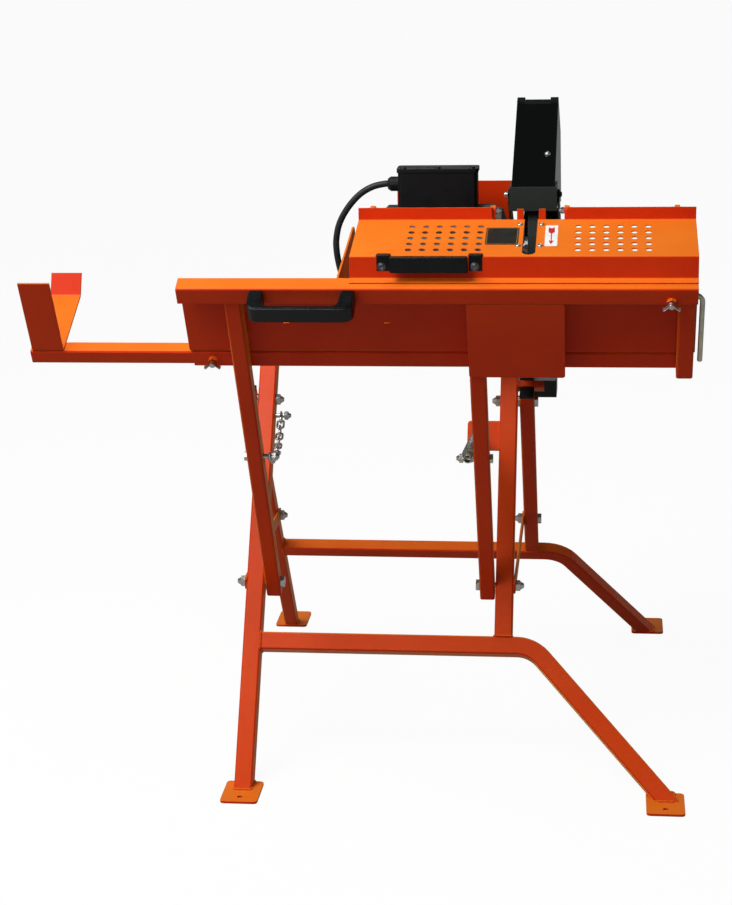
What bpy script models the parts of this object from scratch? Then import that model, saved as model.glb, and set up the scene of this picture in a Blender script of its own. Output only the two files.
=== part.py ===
"""Rocking firewood circular saw: A-frame stand, tilting log trough, hinged slotted cover, guarded blade.

Lengths are millimetres until finish() scales them to metres. X runs along the trough, Y to the rear, Z up.
Stand tubes are drawn in the plane of their frame: x across, y through the plane, z up along the legs.
Trough pieces are drawn in the trough's own frame: x along it, v to the rear, s up along the swing arms.
"""
from math import atan2, cos, hypot, pi, radians, sin, tan

import bmesh
import bpy
from mathutils import Matrix, Vector
from mathutils.geometry import tessellate_polygon

MM = 0.001
FIT = 0.3                      # gap between pieces that touch
WELD = 1.0                     # overlap of pieces that are welded into one
SHEET = 2.0                    # trough, cover and guard sheet
PLATE = 3.0                    # brackets and bars

# Stand
LEAN = radians(33.6)           # each frame leans this far from upright
FOOT_SPREAD = 378.5            # foot line to the middle of the stand
FRONT_TUBE = 30.0
REAR_TUBE = 25.0
TUBE_WALL = 2.0
LEG_X = 213.0                  # front legs, each side of the middle
FRONT_RAIL_L = 248.3           # rail centre, measured up the leg
REAR_RAIL_L = 254.8
FRONT_ELBOW_X = 261.6          # where the rail turns down to the right foot
REAR_ELBOW_X = 298.7
FRONT_SPLAY = radians(48.4)
REAR_SPLAY = radians(56.6)
ELBOW_RADIUS = 58.0
FRONT_LEG_LENGTH = 860.0
REAR_LEG_OVERRUN = 20.0        # rear legs past the apex bolt
CROSSBAR_L = 835.0
STUB_L = 718.0                 # stub that carries the lower blade box
STUB_LENGTH = 45.0
STUB_CLEAR = 55.0              # chute's front wall behind the axis, clear of the stub
FOOT_LENGTH = 78.0
FOOT_WIDTH = 62.0
FOOT_THICK = 4.0
FOOT_TOE = 60.0                # plate beyond the leg's centre
FOOT_HOLE = 9.0
FOOT_HOLE_IN = 18.0            # hole in from the toe
BOLT = 10.0                    # stand bolts

# Trough and its swing arms
TILT = radians(26.12)          # forward tilt at rest
ARM_TUBE = 25.0
ARM_X = 183.5
ARM_FOOT = 23.0                # arm below the pivot
PIVOT_Z = 295.1
TROUGH_LEFT = -266.6
TROUGH_RIGHT = 513.0
FLANGE_S = 645.6
LIP_DROP = 27.6
FLOOR_S = 503.0
FLOOR_V = 124.0
FLOOR_CURB = 15.0
BEND = 3.0                     # bend radius of folded sheet
STRINGER = 30.0
STRINGER_WALL = 2.0
SLOT = 20.0                    # blade slot in trough and cover
SLOT_TOP_S = 625.0
SLIT_X = (-109.5, 46.5)        # two slits in the wall
SLIT = (9.0, 3.0)
SLIT_S = 559.0
POST_TOP_S = 619.7
POST_FOOT_S = 472.8
END_POST_X = 497.5
CHEEK_X = (-24.5, 492.0)
CHEEK_BAND = 28.0              # foot of the cheek against the wall
CHEEK_FALL = 0.27              # top edge falls this much towards the rear
CHEEK_REAR_V = 225.0
PULL_X = (-154.0, 6.0)
PULL_REACH = 46.0
CENTRE_PLATE_X = (170.7, 317.5)
CENTRE_PLATE_S = (475.0, 617.0)
ARM_BOLT_S = 292.0
ARM_BOLT = 8.0
CHAIN_BOLT_L = 654.0
CHAIN_TOP_X = -187.0
CHAIN_LOW_X = -160.0
CHAIN_WIRE = 4.0
CHAIN_INNER_WIDTH = 9.0
CHAIN_LINKS = 15
CHAIN_SAG = 32.0
CHAIN_OVERLAP = 0.4            # neighbours bite into each other by this much

# Return spring and its rod
STRUT_X = 161.0
STRUT_ROD = 14.0
STRUT_NOSE = 9.0               # rod in front of its bolt
STRUT_TAIL = 30.0              # rod behind the spring plate
STRUT_COLLAR = (27.0, 30.0)    # spring's seat, behind the bolt
STRUT_COLLAR_R = 12.0
SPRING_PLATE_L = 620.0
SPRING_PLATE = (57.0, 53.0, 5.0)
SPRING_PLATE_HOLE = 23.0
SPRING_CURLS = 17
SPRING_WIRE = 3.0
SPRING_R = 11.0

# Extension and length stop
EXTENSION_LEFT = -524.0
EXTENSION_LENGTH = 500.0
REST_X = (-520.0, -470.0)
REST_TOP_S = 632.0
REST_BASE_V = 156.0
REST_TAIL = 37.0
REST_RISE = radians(40.0)
CLAMP_X = -231.0
STOP_X = 474.0
ROD = 8.0
ROD_LEFT = 215.0
ROD_DROP_X = 520.0
ROD_END_S = 499.0
SCREW = 6.0                    # clamp screws
WELD_NUT = 6.5                 # half the width of a clamp screw's weld nut

# Blade, motor and guards, about the blade axis
BLADE_X = 263.2
AXIS_Y = -20.0
AXIS_Z = 845.0
BLADE_R = 202.5
BLADE_BORE = 30.0
BLADE_THICK = 2.6
TEETH = 40
MOTOR_R = 73.0
MOTOR_X = (42.0, 190.0)
HUB_R = 25.5                   # motor's nose, on which the left guard arm turns
SHAFT_BORE = 25.4
SHAFT_R = 12.2
FAN_SHAFT_R = 9.0
GUSSET_X = (40.0, 184.0)
SHELF_DROP = 82.0              # motor shelf below the axis
TERMINAL_X = (30.0, 163.0)
TERMINAL_Y = (-30.0, 12.0)     # about the axis
TERMINAL_TOP = 131.0
LID_THICK = 6.7
CABLE_R = 5.5
GLAND_R = 12.5
GLAND_Y = -15.0
GLAND_Z = 953.0
CABLE_ROUTE = [(-17, -15, 948), (-39, -15, 935), (-60, -15, 912), (-75, -15, 885), (-81, -15, 858),
               (-81, -14.5, 838), (-79, -12, 820), (-76.5, -6, 803.5), (-74, 5, 789.5)]
SWITCH_X = (-109.0, -35.0)
SWITCH_L = (780.0, 880.0)
SWITCH_DEEP = 52.0
SWITCH_GLAND_L = 867.5
SWITCH_GLAND_R = 10.5
BUTTON_X = (-89.0, -55.0)
BUTTON_L = 842.0
BUTTON = (18.0, 24.0)
HOOD_WIDTH = 68.0
BOX_WIDTH = 62.0
COLLAR_HIGH = 35.0
COLLAR_SHEET = 2.7
NOSE_WIDTH = 17.0
NOSE_R = (212.0, 240.0)
NOSE_FROM = radians(-14.0)
NOSE_TO = radians(27.0)

# Cover
COVER_SHEET = 1.5
COVER_X = (-4.0, 513.4)
NOTCH_X = (203.0, 319.0)
COVER_FRONT_Y = -457.7
COVER_BEND_Z = 913.4
COVER_REAR_Y = -328.0
COVER_REAR_Z = 945.8
COVER_FLANGE = 19.0
COVER_LIP_V = -1.3
HINGE_Y = -316.0
HINGE_Z = 958.0
HOLE = 10.0
HOLE_PITCH = 21.0
HOLE_LEFT_X = (82.5, 336.0)    # first column of each field
HOLE_COLUMNS = 6
HOLE_ROWS = 5
HOLE_FIRST = 24.0              # first row behind the bend
HINGE_BOLT = 6.0
COVER_PULL_X = (36.0, 196.0)
COVER_PULL_REACH = 28.0
COVER_PULL_HEIGHT = 25.6
COVER_PULL_TOP = 3.0           # handle's top above the cover's bend
POST_THICK = 5.0
TAB = 2.5
POST_X = (14.0, NOTCH_X[0] + FIT, NOTCH_X[1] - FIT - POST_THICK, 484.0)
POST_SIDE = (1, -1, 1, -1)     # side of each post that its cover tab lies on

# Middle of the whole saw lies this far in front of the apex
CENTRE_Y = -41.1

PIVOT_Y = -(FOOT_SPREAD - PIVOT_Z * tan(LEAN))
REAR_X = LEG_X + FRONT_TUBE / 2 + PLATE + 2 * FIT + REAR_TUBE / 2
WALL_V = ARM_TUBE / 2 + FIT    # front face of the trough wall
LOG_V = WALL_V + SHEET         # face that the logs lie against
APEX_L = FOOT_SPREAD / sin(LEAN)
REAR_LEG_LENGTH = APEX_L + REAR_LEG_OVERRUN
PIVOT_L = PIVOT_Z / cos(LEAN)
STRINGER_S = FLOOR_S - SHEET - FIT - STRINGER / 2
ROD_S = POST_TOP_S + FIT + ROD / 2
HINGE_V = (HINGE_Y - PIVOT_Y) * cos(TILT) + (HINGE_Z - PIVOT_Z) * sin(TILT)
HINGE_S = (HINGE_Z - PIVOT_Z) * cos(TILT) - (HINGE_Y - PIVOT_Y) * sin(TILT)


def material(name, colour, roughness, metallic=0.0):
    """Principled material from an sRGB hex colour."""
    mat = bpy.data.materials.get(name) or bpy.data.materials.new(name)
    mat.use_nodes = True
    channels = [int(colour[i:i + 2], 16) / 255 for i in (0, 2, 4)]
    linear = [c / 12.92 if c <= 0.04045 else ((c + 0.055) / 1.055) ** 2.4 for c in channels]
    shader = mat.node_tree.nodes["Principled BSDF"]
    shader.inputs["Base Color"].default_value = (*linear, 1)
    shader.inputs["Roughness"].default_value = roughness
    shader.inputs["Metallic"].default_value = metallic
    mat.diffuse_color = (*linear, 1)
    return mat


def empty(name, at, parent=None, turn=0.0):
    """Axis marker at a place in millimetres, turned about X."""
    marker = bpy.data.objects.new(name, None)
    bpy.context.scene.collection.objects.link(marker)
    marker.parent = parent
    marker.location = Vector(at) * MM
    marker.rotation_euler = (turn, 0, 0)
    return marker


def to_mesh(bm, name):
    bmesh.ops.recalc_face_normals(bm, faces=bm.faces)
    mesh = bpy.data.meshes.new(name)
    bm.to_mesh(mesh)
    bm.free()
    return mesh


def boolean(bm, other, operation):
    """Exact Boolean of two solids."""
    body = bpy.data.objects.new("boolean_body", to_mesh(bm, "boolean_body"))
    tool = bpy.data.objects.new("boolean_tool", to_mesh(other, "boolean_tool"))
    for item in (body, tool):
        bpy.context.scene.collection.objects.link(item)
    modifier = body.modifiers.new("boolean", "BOOLEAN")
    modifier.operation = operation
    modifier.object = tool
    graph = bpy.context.evaluated_depsgraph_get()
    result = bmesh.new()
    result.from_mesh(body.evaluated_get(graph).to_mesh())
    for item in (body, tool):
        mesh = item.data
        bpy.data.objects.remove(item)
        bpy.data.meshes.remove(mesh)
    bmesh.ops.remove_doubles(result, verts=result.verts, dist=0.002)
    return result


def cut(bm, cutter):
    return boolean(bm, cutter, "DIFFERENCE")


def weld(bm, *others):
    """Pieces that overlap a little, made one solid."""
    for other in others:
        bm = boolean(bm, other, "UNION")
    return bm


def in_frame(bm, marker):
    """Solid drawn in the saw's frame, turned into a marker's own."""
    place = Matrix.Translation(marker.location / MM) @ marker.rotation_euler.to_matrix().to_4x4()
    bmesh.ops.transform(bm, matrix=place.inverted(), verts=bm.verts)
    return bm


def finish(name, bm, paint, parent, origin=(0, 0, 0)):
    """Named object in metres whose origin sits at origin of the parent's frame."""
    bmesh.ops.translate(bm, verts=bm.verts, vec=-Vector(origin))
    bmesh.ops.scale(bm, verts=bm.verts, vec=(MM, MM, MM))
    obj = bpy.data.objects.new(name, to_mesh(bm, name))
    bpy.context.scene.collection.objects.link(obj)
    obj.data.materials.append(paint)
    obj.parent = parent
    obj.location = Vector(origin) * MM
    return obj


def rounded(points, radii, steps=3, closed=True):
    """Outline with its corners turned into arcs; radii is one size or one per corner."""
    count = len(points)
    result = []
    for i, point in enumerate(points):
        radius = radii if isinstance(radii, (int, float)) else radii[i]
        point = Vector(point)
        if radius <= 0 or (not closed and i in (0, count - 1)):
            result.append(point)
            continue
        to_last = (Vector(points[i - 1]) - point).normalized()
        to_next = (Vector(points[(i + 1) % count]) - point).normalized()
        half = to_last.angle(to_next) / 2
        centre = point + (to_last + to_next).normalized() * (radius / sin(half))
        start = point + to_last * (radius / tan(half)) - centre
        end = point + to_next * (radius / tan(half)) - centre
        turn = atan2(start.x * end.y - start.y * end.x, start.dot(end))
        for k in range(steps + 1):
            result.append(centre + Matrix.Rotation(turn * k / steps, 2) @ start)
    return result


def folded(line, thickness, radius=BEND):
    """Outline of a folded sheet: line is one face, the sheet lies to its right."""
    face = rounded(line, radius, closed=False)
    back = []
    for i, point in enumerate(face):
        sides = []
        for a, b in ((i - 1, i), (i, i + 1)):
            if a >= 0 and b < len(face):
                step = (face[b] - face[a]).normalized()
                sides.append(Vector((step.y, -step.x)))
        mitre = sides[0] if len(sides) == 1 else (sides[0] + sides[1]) / (1 + sides[0].dot(sides[1]))
        back.append(point + mitre * thickness)
    return face + back[::-1]


AXES = {"x": lambda a, b, c: (c, a, b), "y": lambda a, b, c: (a, c, b), "z": lambda a, b, c: (a, b, c)}


def prism(bm, outline, span, axis, holes=()):
    """Outline, less holes, drawn out along axis over span."""
    loops = [[Vector((p[0], p[1], 0)) for p in loop] for loop in (outline, *holes)]
    place = AXES[axis]
    ends = []
    for level in span:
        ends.append([bm.verts.new(place(p.x, p.y, level)) for loop in loops for p in loop])
    if holes:
        faces = tessellate_polygon(loops)
    else:
        faces = [range(len(loops[0]))]
    for face in faces:
        bm.faces.new([ends[0][i] for i in face])
        bm.faces.new([ends[1][i] for i in face])
    start = 0
    for loop in loops:
        size = len(loop)
        for i in range(size):
            a, b = start + i, start + (i + 1) % size
            bm.faces.new((ends[0][a], ends[0][b], ends[1][b], ends[1][a]))
        start += size
    return bm


def block(bm, x, y, z):
    return prism(bm, [(x[0], y[0]), (x[1], y[0]), (x[1], y[1]), (x[0], y[1])], z, "z")


def circle(a, b, radius, sides=16, start=0.0):
    return [(a + radius * cos(start + 2 * pi * k / sides), b + radius * sin(start + 2 * pi * k / sides))
            for k in range(sides)]


def arc(radius, first, last, steps):
    turn = (last - first) / steps
    return [(radius * cos(first + turn * k), radius * sin(first + turn * k))
            for k in range(steps + 1)]


def turned(bm, rings, axis="x", at=(0, 0), sides=12):
    """Solid of stacked rings (place along axis, radius); a negative radius is the flat of a hexagon."""
    place = AXES[axis]
    loops = []
    for along, radius in rings:
        loop = []
        for k in range(sides):
            angle = 2 * pi * k / sides
            size = radius
            if radius < 0:
                size = -radius / cos((angle + pi / 6) % (pi / 3) - pi / 6)
            loop.append(bm.verts.new(place(at[0] + size * cos(angle), at[1] + size * sin(angle), along)))
        loops.append(loop)
    for lower, upper in zip(loops, loops[1:]):
        for k in range(sides):
            n = (k + 1) % sides
            bm.faces.new((lower[k], lower[n], upper[n], upper[k]))
    return loops


def shaft(bm, rings, axis="x", at=(0, 0), sides=12):
    """Turned solid with flat ends."""
    loops = turned(bm, rings, axis, at, sides)
    bm.faces.new(loops[0])
    bm.faces.new(loops[-1])
    return bm


def ring(bm, rings, axis="x", at=(0, 0), sides=12):
    """Turned solid whose rings close on themselves round a bore."""
    turned(bm, list(rings) + [rings[0]], axis, at, sides)
    bmesh.ops.remove_doubles(bm, verts=bm.verts, dist=0.0005)
    return bm


def fastener(name, at, head, nut, size, paint, parent, collar=None):
    """Bolt along X with its nut on it: head and nut are their seats, collar is a spacer's span."""
    way = 1 if nut > head else -1
    flat = -0.85 * size
    rings = [(head - way * 0.65 * size, flat), (head, flat), (head, size / 2)]
    if collar:
        rings += [(collar[0], size / 2), (collar[0], size), (collar[1], size), (collar[1], size / 2)]
    rings += [(nut, size / 2), (nut, flat), (nut + way * 0.75 * size, flat),
              (nut + way * 0.8 * size, 0.72 * size), (nut + way * 1.4 * size, 0.35 * size)]
    finish(name, shaft(bmesh.new(), rings, "x", at, 12 if size > HINGE_BOLT else 6), paint, parent)


def section(size, wall):
    """Corner points of a square tube: outer loop and inner loop, both rounded."""
    outer = rounded([(-size / 2, -size / 2), (size / 2, -size / 2), (size / 2, size / 2), (-size / 2, size / 2)],
                    1.2 * wall, 1)
    inner = size / 2 - wall
    return outer, rounded([(-inner, -inner), (inner, -inner), (inner, inner), (-inner, inner)], 0.4 * wall, 1)


def tube(bm, path, size, wall=TUBE_WALL, normal=(0, 1, 0), cuts=(None, None)):
    """Square tube along a flat path; cuts trim its ends to planes given as (point, normal)."""
    path = [Vector(p) for p in path]
    normal = Vector(normal)
    loops = []
    for i, point in enumerate(path):
        ways = [(path[b] - path[a]).normalized() for a, b in ((i - 1, i), (i, i + 1)) if a >= 0 and b < len(path)]
        along = sum(ways, Vector()).normalized()
        side = along.cross(normal) / along.dot(ways[0])
        plane = cuts[0] if i == 0 else cuts[1] if i == len(path) - 1 else None
        pair = []
        for loop in section(size, wall):
            verts = []
            for a, b in loop:
                spot = point + side * a + normal * b
                if plane:
                    spot += along * ((Vector(plane[0]) - spot).dot(plane[1]) / along.dot(plane[1]))
                verts.append(bm.verts.new(spot))
            pair.append(verts)
        loops.append(pair)
    count = len(loops[0][0])
    for k in range(count):
        n = (k + 1) % count
        for first, last in zip(loops, loops[1:]):
            for skin in (0, 1):
                bm.faces.new((first[skin][k], first[skin][n], last[skin][n], last[skin][k]))
        for end in (loops[0], loops[-1]):
            bm.faces.new((end[0][k], end[0][n], end[1][n], end[1][k]))
    return bm


def elbow(start, corner, end, radius, steps=6):
    """Path with one bend, in a frame's plane."""
    flat = rounded([start, corner, end], radius, steps, closed=False)
    return [(p.x, 0, p.y) for p in flat]


def drills(*holes):
    """Cutter of round holes along X: (first x, last x, y, z, diameter)."""
    cutter = bmesh.new()
    for x0, x1, y, z, size in holes:
        shaft(cutter, [(x0, size / 2), (x1, size / 2)], "x", (y, z), 10)
    return cutter


def trough_place(v, s):
    """World Y and Z of a place in the trough's frame at rest."""
    return (PIVOT_Y - s * sin(TILT) + v * cos(TILT), PIVOT_Z + s * cos(TILT) + v * sin(TILT))


def stand_place(through, up):
    """World Y and Z of a place in the front frame's plane."""
    return (-FOOT_SPREAD + up * sin(LEAN) + through * cos(LEAN), up * cos(LEAN) - through * sin(LEAN))


def foot_plate(x, side, marker):
    """Plate flat on the ground under a leg, with its fixing hole towards the toe."""
    toe = side * (FOOT_SPREAD + FOOT_TOE)
    heel = toe - side * FOOT_LENGTH
    corners = [(x - FOOT_WIDTH / 2, heel), (x + FOOT_WIDTH / 2, heel),
               (x + FOOT_WIDTH / 2, toe), (x - FOOT_WIDTH / 2, toe)]
    drill = circle(x, toe - side * FOOT_HOLE_IN, FOOT_HOLE / 2, 12)
    return in_frame(prism(bmesh.new(), rounded(corners, 6, 2), (0, FOOT_THICK), "z", [drill]), marker)


def build_stand(root, front, rear, red, black, zinc):
    sink = (FOOT_THICK - WELD) / cos(LEAN)
    foot_front = ((0, 0, sink), Vector((0, -sin(LEAN), cos(LEAN))))
    foot_rear = ((0, 0, sink), Vector((0, sin(LEAN), cos(LEAN))))
    hole = BOLT + 2 * FIT

    # Front frame
    half = FRONT_TUBE / 2
    through = (-LEG_X - FRONT_TUBE, -LEG_X + FRONT_TUBE)
    line = [(-LEG_X, 0, 0), (-LEG_X, 0, FRONT_LEG_LENGTH)]
    leg = tube(bmesh.new(), line, FRONT_TUBE, cuts=(foot_front, None))
    leg = cut(weld(leg, foot_plate(-LEG_X, -1, front)),
              drills((*through, 0, PIVOT_L, hole), (*through, 0, APEX_L, hole),
                     (*through, 0, CHAIN_BOLT_L, ARM_BOLT + 2 * FIT)))
    finish("front_left_leg", leg, red, front)
    foot_x = FRONT_ELBOW_X + FRONT_RAIL_L / tan(FRONT_SPLAY)
    start = (-LEG_X + half + FIT, FRONT_RAIL_L)
    path = elbow(start, (FRONT_ELBOW_X, FRONT_RAIL_L), (foot_x, 0), ELBOW_RADIUS)
    rail = tube(bmesh.new(), path, FRONT_TUBE, cuts=(None, foot_front))
    finish("front_rail_leg", weld(rail, foot_plate(foot_x, -1, front)), red, front)
    line = [(LEG_X, 0, FRONT_RAIL_L + half + FIT), (LEG_X, 0, FRONT_LEG_LENGTH)]
    upright = tube(bmesh.new(), line, FRONT_TUBE)
    through = (LEG_X - FRONT_TUBE, LEG_X + FRONT_TUBE)
    upright = cut(upright, drills((*through, 0, PIVOT_L, hole), (*through, 0, APEX_L, hole)))
    wide, high, thick = SPRING_PLATE
    right = LEG_X - half + WELD
    corners = [(right - wide, SPRING_PLATE_L - high / 2), (right, SPRING_PLATE_L - high / 2),
               (right, SPRING_PLATE_L + high / 2), (right - wide, SPRING_PLATE_L + high / 2)]
    plate = prism(bmesh.new(), rounded(corners, (5, 0, 0, 5), 2), (-thick / 2, thick / 2), "y",
                  [circle(STRUT_X, SPRING_PLATE_L, SPRING_PLATE_HOLE / 2, 16)])
    stub_x = LEG_X + half
    stub = tube(bmesh.new(), [(stub_x - WELD, 0, STUB_L), (stub_x + STUB_LENGTH, 0, STUB_L)], REAR_TUBE)
    finish("front_upright", weld(upright, plate, stub), red, front)

    # Rear frame
    half = REAR_TUBE / 2
    drill = drills((-REAR_X - REAR_TUBE, -REAR_X + REAR_TUBE, 0, PIVOT_L, hole),
                   (-REAR_X - REAR_TUBE, -REAR_X + REAR_TUBE, 0, APEX_L, hole))
    line = [(-REAR_X, 0, 0), (-REAR_X, 0, REAR_LEG_LENGTH)]
    leg = tube(bmesh.new(), line, REAR_TUBE, cuts=(foot_rear, None))
    finish("rear_left_leg", cut(weld(leg, foot_plate(-REAR_X, 1, rear)), drill), red, rear)
    rear_foot_x = REAR_ELBOW_X + REAR_RAIL_L / tan(REAR_SPLAY)
    start = (-REAR_X + half + FIT, REAR_RAIL_L)
    path = elbow(start, (REAR_ELBOW_X, REAR_RAIL_L), (rear_foot_x, 0), ELBOW_RADIUS)
    rail = tube(bmesh.new(), path, REAR_TUBE, cuts=(None, foot_rear))
    finish("rear_rail_leg", weld(rail, foot_plate(rear_foot_x, 1, rear)), red, rear)
    line = [(REAR_X, 0, REAR_RAIL_L + half + FIT), (REAR_X, 0, REAR_LEG_LENGTH)]
    upright = tube(bmesh.new(), line, REAR_TUBE)
    drill = drills((REAR_X - REAR_TUBE, REAR_X + REAR_TUBE, 0, PIVOT_L, hole),
                   (REAR_X - REAR_TUBE, REAR_X + REAR_TUBE, 0, APEX_L, hole))
    finish("rear_upright", cut(upright, drill), red, rear)
    for side, x in (("left", -REAR_X), ("right", REAR_X)):
        seat = REAR_LEG_LENGTH + FIT
        cap = block(bmesh.new(), (x - half, x + half), (-half, half), (seat, seat + 3))
        finish("rear_leg_cap_" + side, cap, black, rear)

    # Spreader bars join the frames at the height of the swing pivot
    pivot_y = -PIVOT_Y
    ends = [(-pivot_y - 15, PIVOT_Z - 12), (pivot_y + 15, PIVOT_Z - 12),
            (pivot_y + 15, PIVOT_Z + 12), (-pivot_y - 15, PIVOT_Z + 12)]
    holes = [circle(y, PIVOT_Z, hole / 2, 12) for y in (-pivot_y, pivot_y)]
    outside = LEG_X + FRONT_TUBE / 2 + FIT
    for side, x in (("left", -outside - PLATE), ("right", outside)):
        bar = prism(bmesh.new(), rounded(ends, 9), (x, x + PLATE), "x", holes)
        finish("spreader_bar_" + side, bar, red, root)

    # Bolts of the stand
    inside = LEG_X - FRONT_TUBE / 2 - FIT
    past_bar = outside + PLATE + FIT
    past_rear = REAR_X + REAR_TUBE / 2 + FIT
    arm_in = ARM_X - ARM_TUBE / 2 - FIT
    apex = stand_place(0, APEX_L)
    for side, way in (("left", -1), ("right", 1)):
        fastener("apex_bolt_" + side, apex, way * past_rear, way * inside, BOLT, zinc, root,
                 (way * (outside + PLATE), way * outside))
        behind = (-PIVOT_Y, PIVOT_Z)
        fastener("spreader_bolt_" + side, behind, way * past_rear, way * outside, BOLT, zinc, root)
        fastener("pivot_bolt_" + side, (PIVOT_Y, PIVOT_Z), way * arm_in, way * past_bar, BOLT, zinc, root)
    fastener("chain_bolt", stand_place(0, CHAIN_BOLT_L), -outside, -inside + 17, ARM_BOLT, zinc, root)


def build_trough(cradle, red, black, zinc):
    pivot_hole = BOLT + 2 * FIT
    arm_hole = ARM_BOLT + 2 * FIT
    half = ARM_TUBE / 2

    # Swing arms; the mid one carries the centre plate and the post beside the blade slot
    for name, x in (("left_swing_arm", -ARM_X), ("mid_swing_arm", ARM_X)):
        arm = tube(bmesh.new(), [(x, 0, -ARM_FOOT), (x, 0, FLANGE_S - SHEET - WELD)], ARM_TUBE)
        through = (x - ARM_TUBE, x + ARM_TUBE)
        arm = cut(arm, drills((*through, 0, 0, pivot_hole), (*through, 0, ARM_BOLT_S, arm_hole)))
        if x > 0:
            left, right = CENTRE_PLATE_X
            low, high = CENTRE_PLATE_S
            plate = prism(bmesh.new(), rounded([(left, low), (right, low), (right, high), (left, high)], 4),
                          (-LOG_V, WELD - half), "y")
            post_x = right - half - WELD
            post = tube(bmesh.new(), [(post_x, 0, POST_FOOT_S), (post_x, 0, POST_TOP_S)], ARM_TUBE)
            arm = weld(arm, plate, post)
        finish(name, arm, red, cradle)
    post = tube(bmesh.new(), [(END_POST_X, 0, POST_FOOT_S), (END_POST_X, 0, POST_TOP_S)], ARM_TUBE)
    finish("end_post", post, red, cradle)

    # Folded trough: lip, flange, wall, floor and rear curb in one sheet, with the cover's posts welded on
    line = [(-LOG_V, FLANGE_S - LIP_DROP), (-LOG_V, FLANGE_S), (LOG_V, FLANGE_S),
            (LOG_V, FLOOR_S), (FLOOR_V, FLOOR_S), (FLOOR_V, FLOOR_S + FLOOR_CURB)]
    sheet = prism(bmesh.new(), folded(line, SHEET), (TROUGH_LEFT, TROUGH_RIGHT), "x")
    slot_x = (BLADE_X - SLOT / 2, BLADE_X + SLOT / 2)
    cutter = block(bmesh.new(), slot_x, (5, FLOOR_V + 5), (FLOOR_S - 5, SLOT_TOP_S))
    wide, high = SLIT
    for x in SLIT_X:
        block(cutter, (x - wide / 2, x + wide / 2), (5, 20), (SLIT_S - high / 2, SLIT_S + high / 2))
    sheet = cut(sheet, cutter)
    hinge_v, hinge_s = HINGE_V, HINGE_S
    foot_s = FLOOR_S - WELD
    foot_v = FLOOR_V - WELD
    eye = [(hinge_v + 8 * cos(a), hinge_s + 8 * sin(a)) for a in (radians(d) for d in range(-40, 141, 30))]
    neck = [(106, foot_s), (foot_v, foot_s), (foot_v, 590), (160, 622)] + eye + [(153, 637), (106, 603)]
    for x in POST_X:
        eye_hole = circle(hinge_v, hinge_s, HINGE_BOLT / 2 + 2 * FIT, 8)
        post = prism(bmesh.new(), neck, (x, x + POST_THICK), "x", [eye_hole])
        sheet = weld(sheet, post)
    nut = shaft(bmesh.new(), [(-LOG_V + WELD, -WELD_NUT), (-LOG_V - 7, -WELD_NUT)], "y", (STOP_X, ROD_S))
    bore = SCREW / 2 + FIT
    screw_hole = shaft(bmesh.new(), [(-LOG_V - 20, bore), (-5, bore)], "y", (STOP_X, ROD_S))
    finish("trough_sheet", cut(weld(sheet, nut), screw_hole), red, cradle)

    # Square stringer under the wall, broken at the blade slot; its left run receives the extension
    centre_v = WALL_V + STRINGER / 2
    runs = (("left_stringer", TROUGH_LEFT + 4, BLADE_X - SLOT / 2),
            ("right_stringer", BLADE_X + SLOT / 2, TROUGH_RIGHT - 3))
    for name, left, right in runs:
        line = [(left, centre_v, STRINGER_S), (right, centre_v, STRINGER_S)]
        run = tube(bmesh.new(), line, STRINGER, STRINGER_WALL)
        if left < CLAMP_X < right:
            at = (CLAMP_X, STRINGER_S)
            nut = shaft(bmesh.new(), [(WALL_V + WELD, -WELD_NUT), (WALL_V - 8, -WELD_NUT)], "y", at)
            screw_hole = shaft(bmesh.new(), [(WALL_V - 20, bore), (WALL_V + 5, bore)], "y", at)
            run = cut(weld(run, nut), screw_hole)
        finish(name, run, red, cradle)

    # Side cheeks: arches that let the log through
    top = FLANGE_S - FIT
    v0 = LOG_V + FIT
    v1 = v0 + CHEEK_BAND
    curb = FLOOR_V - SHEET - FIT
    base = FLOOR_S + FIT
    rear_top = top - CHEEK_FALL * (CHEEK_REAR_V - v0)
    outline = [(v0, base), (v0, top), (CHEEK_REAR_V, rear_top), (CHEEK_REAR_V, rear_top - 28),
               (curb, FLOOR_S + FLOOR_CURB + FIT), (curb, base), (101, base), (101, 536), (134, 550),
               (v1, top - CHEEK_BAND - 4), (v1, base)]
    radii = [4, 4, 12, 12, 0, 2, 0, 10, 8, 8, 0]
    for name, x in (("left_cheek", CHEEK_X[0]), ("right_cheek", CHEEK_X[1])):
        finish(name, prism(bmesh.new(), rounded(outline, radii, 2), (x, x + PLATE), "x"), red, cradle)

    for number, (x, way) in enumerate(zip(POST_X, POST_SIDE), 1):
        outer = x + POST_THICK + TAB + 2 * FIT if way > 0 else x - TAB - 2 * FIT
        inner = x - FIT if way > 0 else x + POST_THICK + FIT
        fastener("cover_hinge_bolt_%d" % number, (HINGE_V, HINGE_S), outer, inner, HINGE_BOLT, zinc, cradle)

    # Pull handle on the lip
    handle("pull_handle", PULL_X, -LOG_V - FIT, PULL_REACH, (FLANGE_S - 25.6, FLANGE_S), 21.5, black, cradle)

    # Chain and spring bolts through the arms
    inner = ARM_X - half - FIT
    outer = ARM_X + half + FIT
    fastener("chain_arm_bolt", (0, ARM_BOLT_S), -outer, -inner + 15, ARM_BOLT, zinc, cradle)
    fastener("spring_arm_bolt", (0, ARM_BOLT_S), outer, STRUT_X - STRUT_ROD / 2 - FIT, ARM_BOLT, zinc, cradle)


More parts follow.
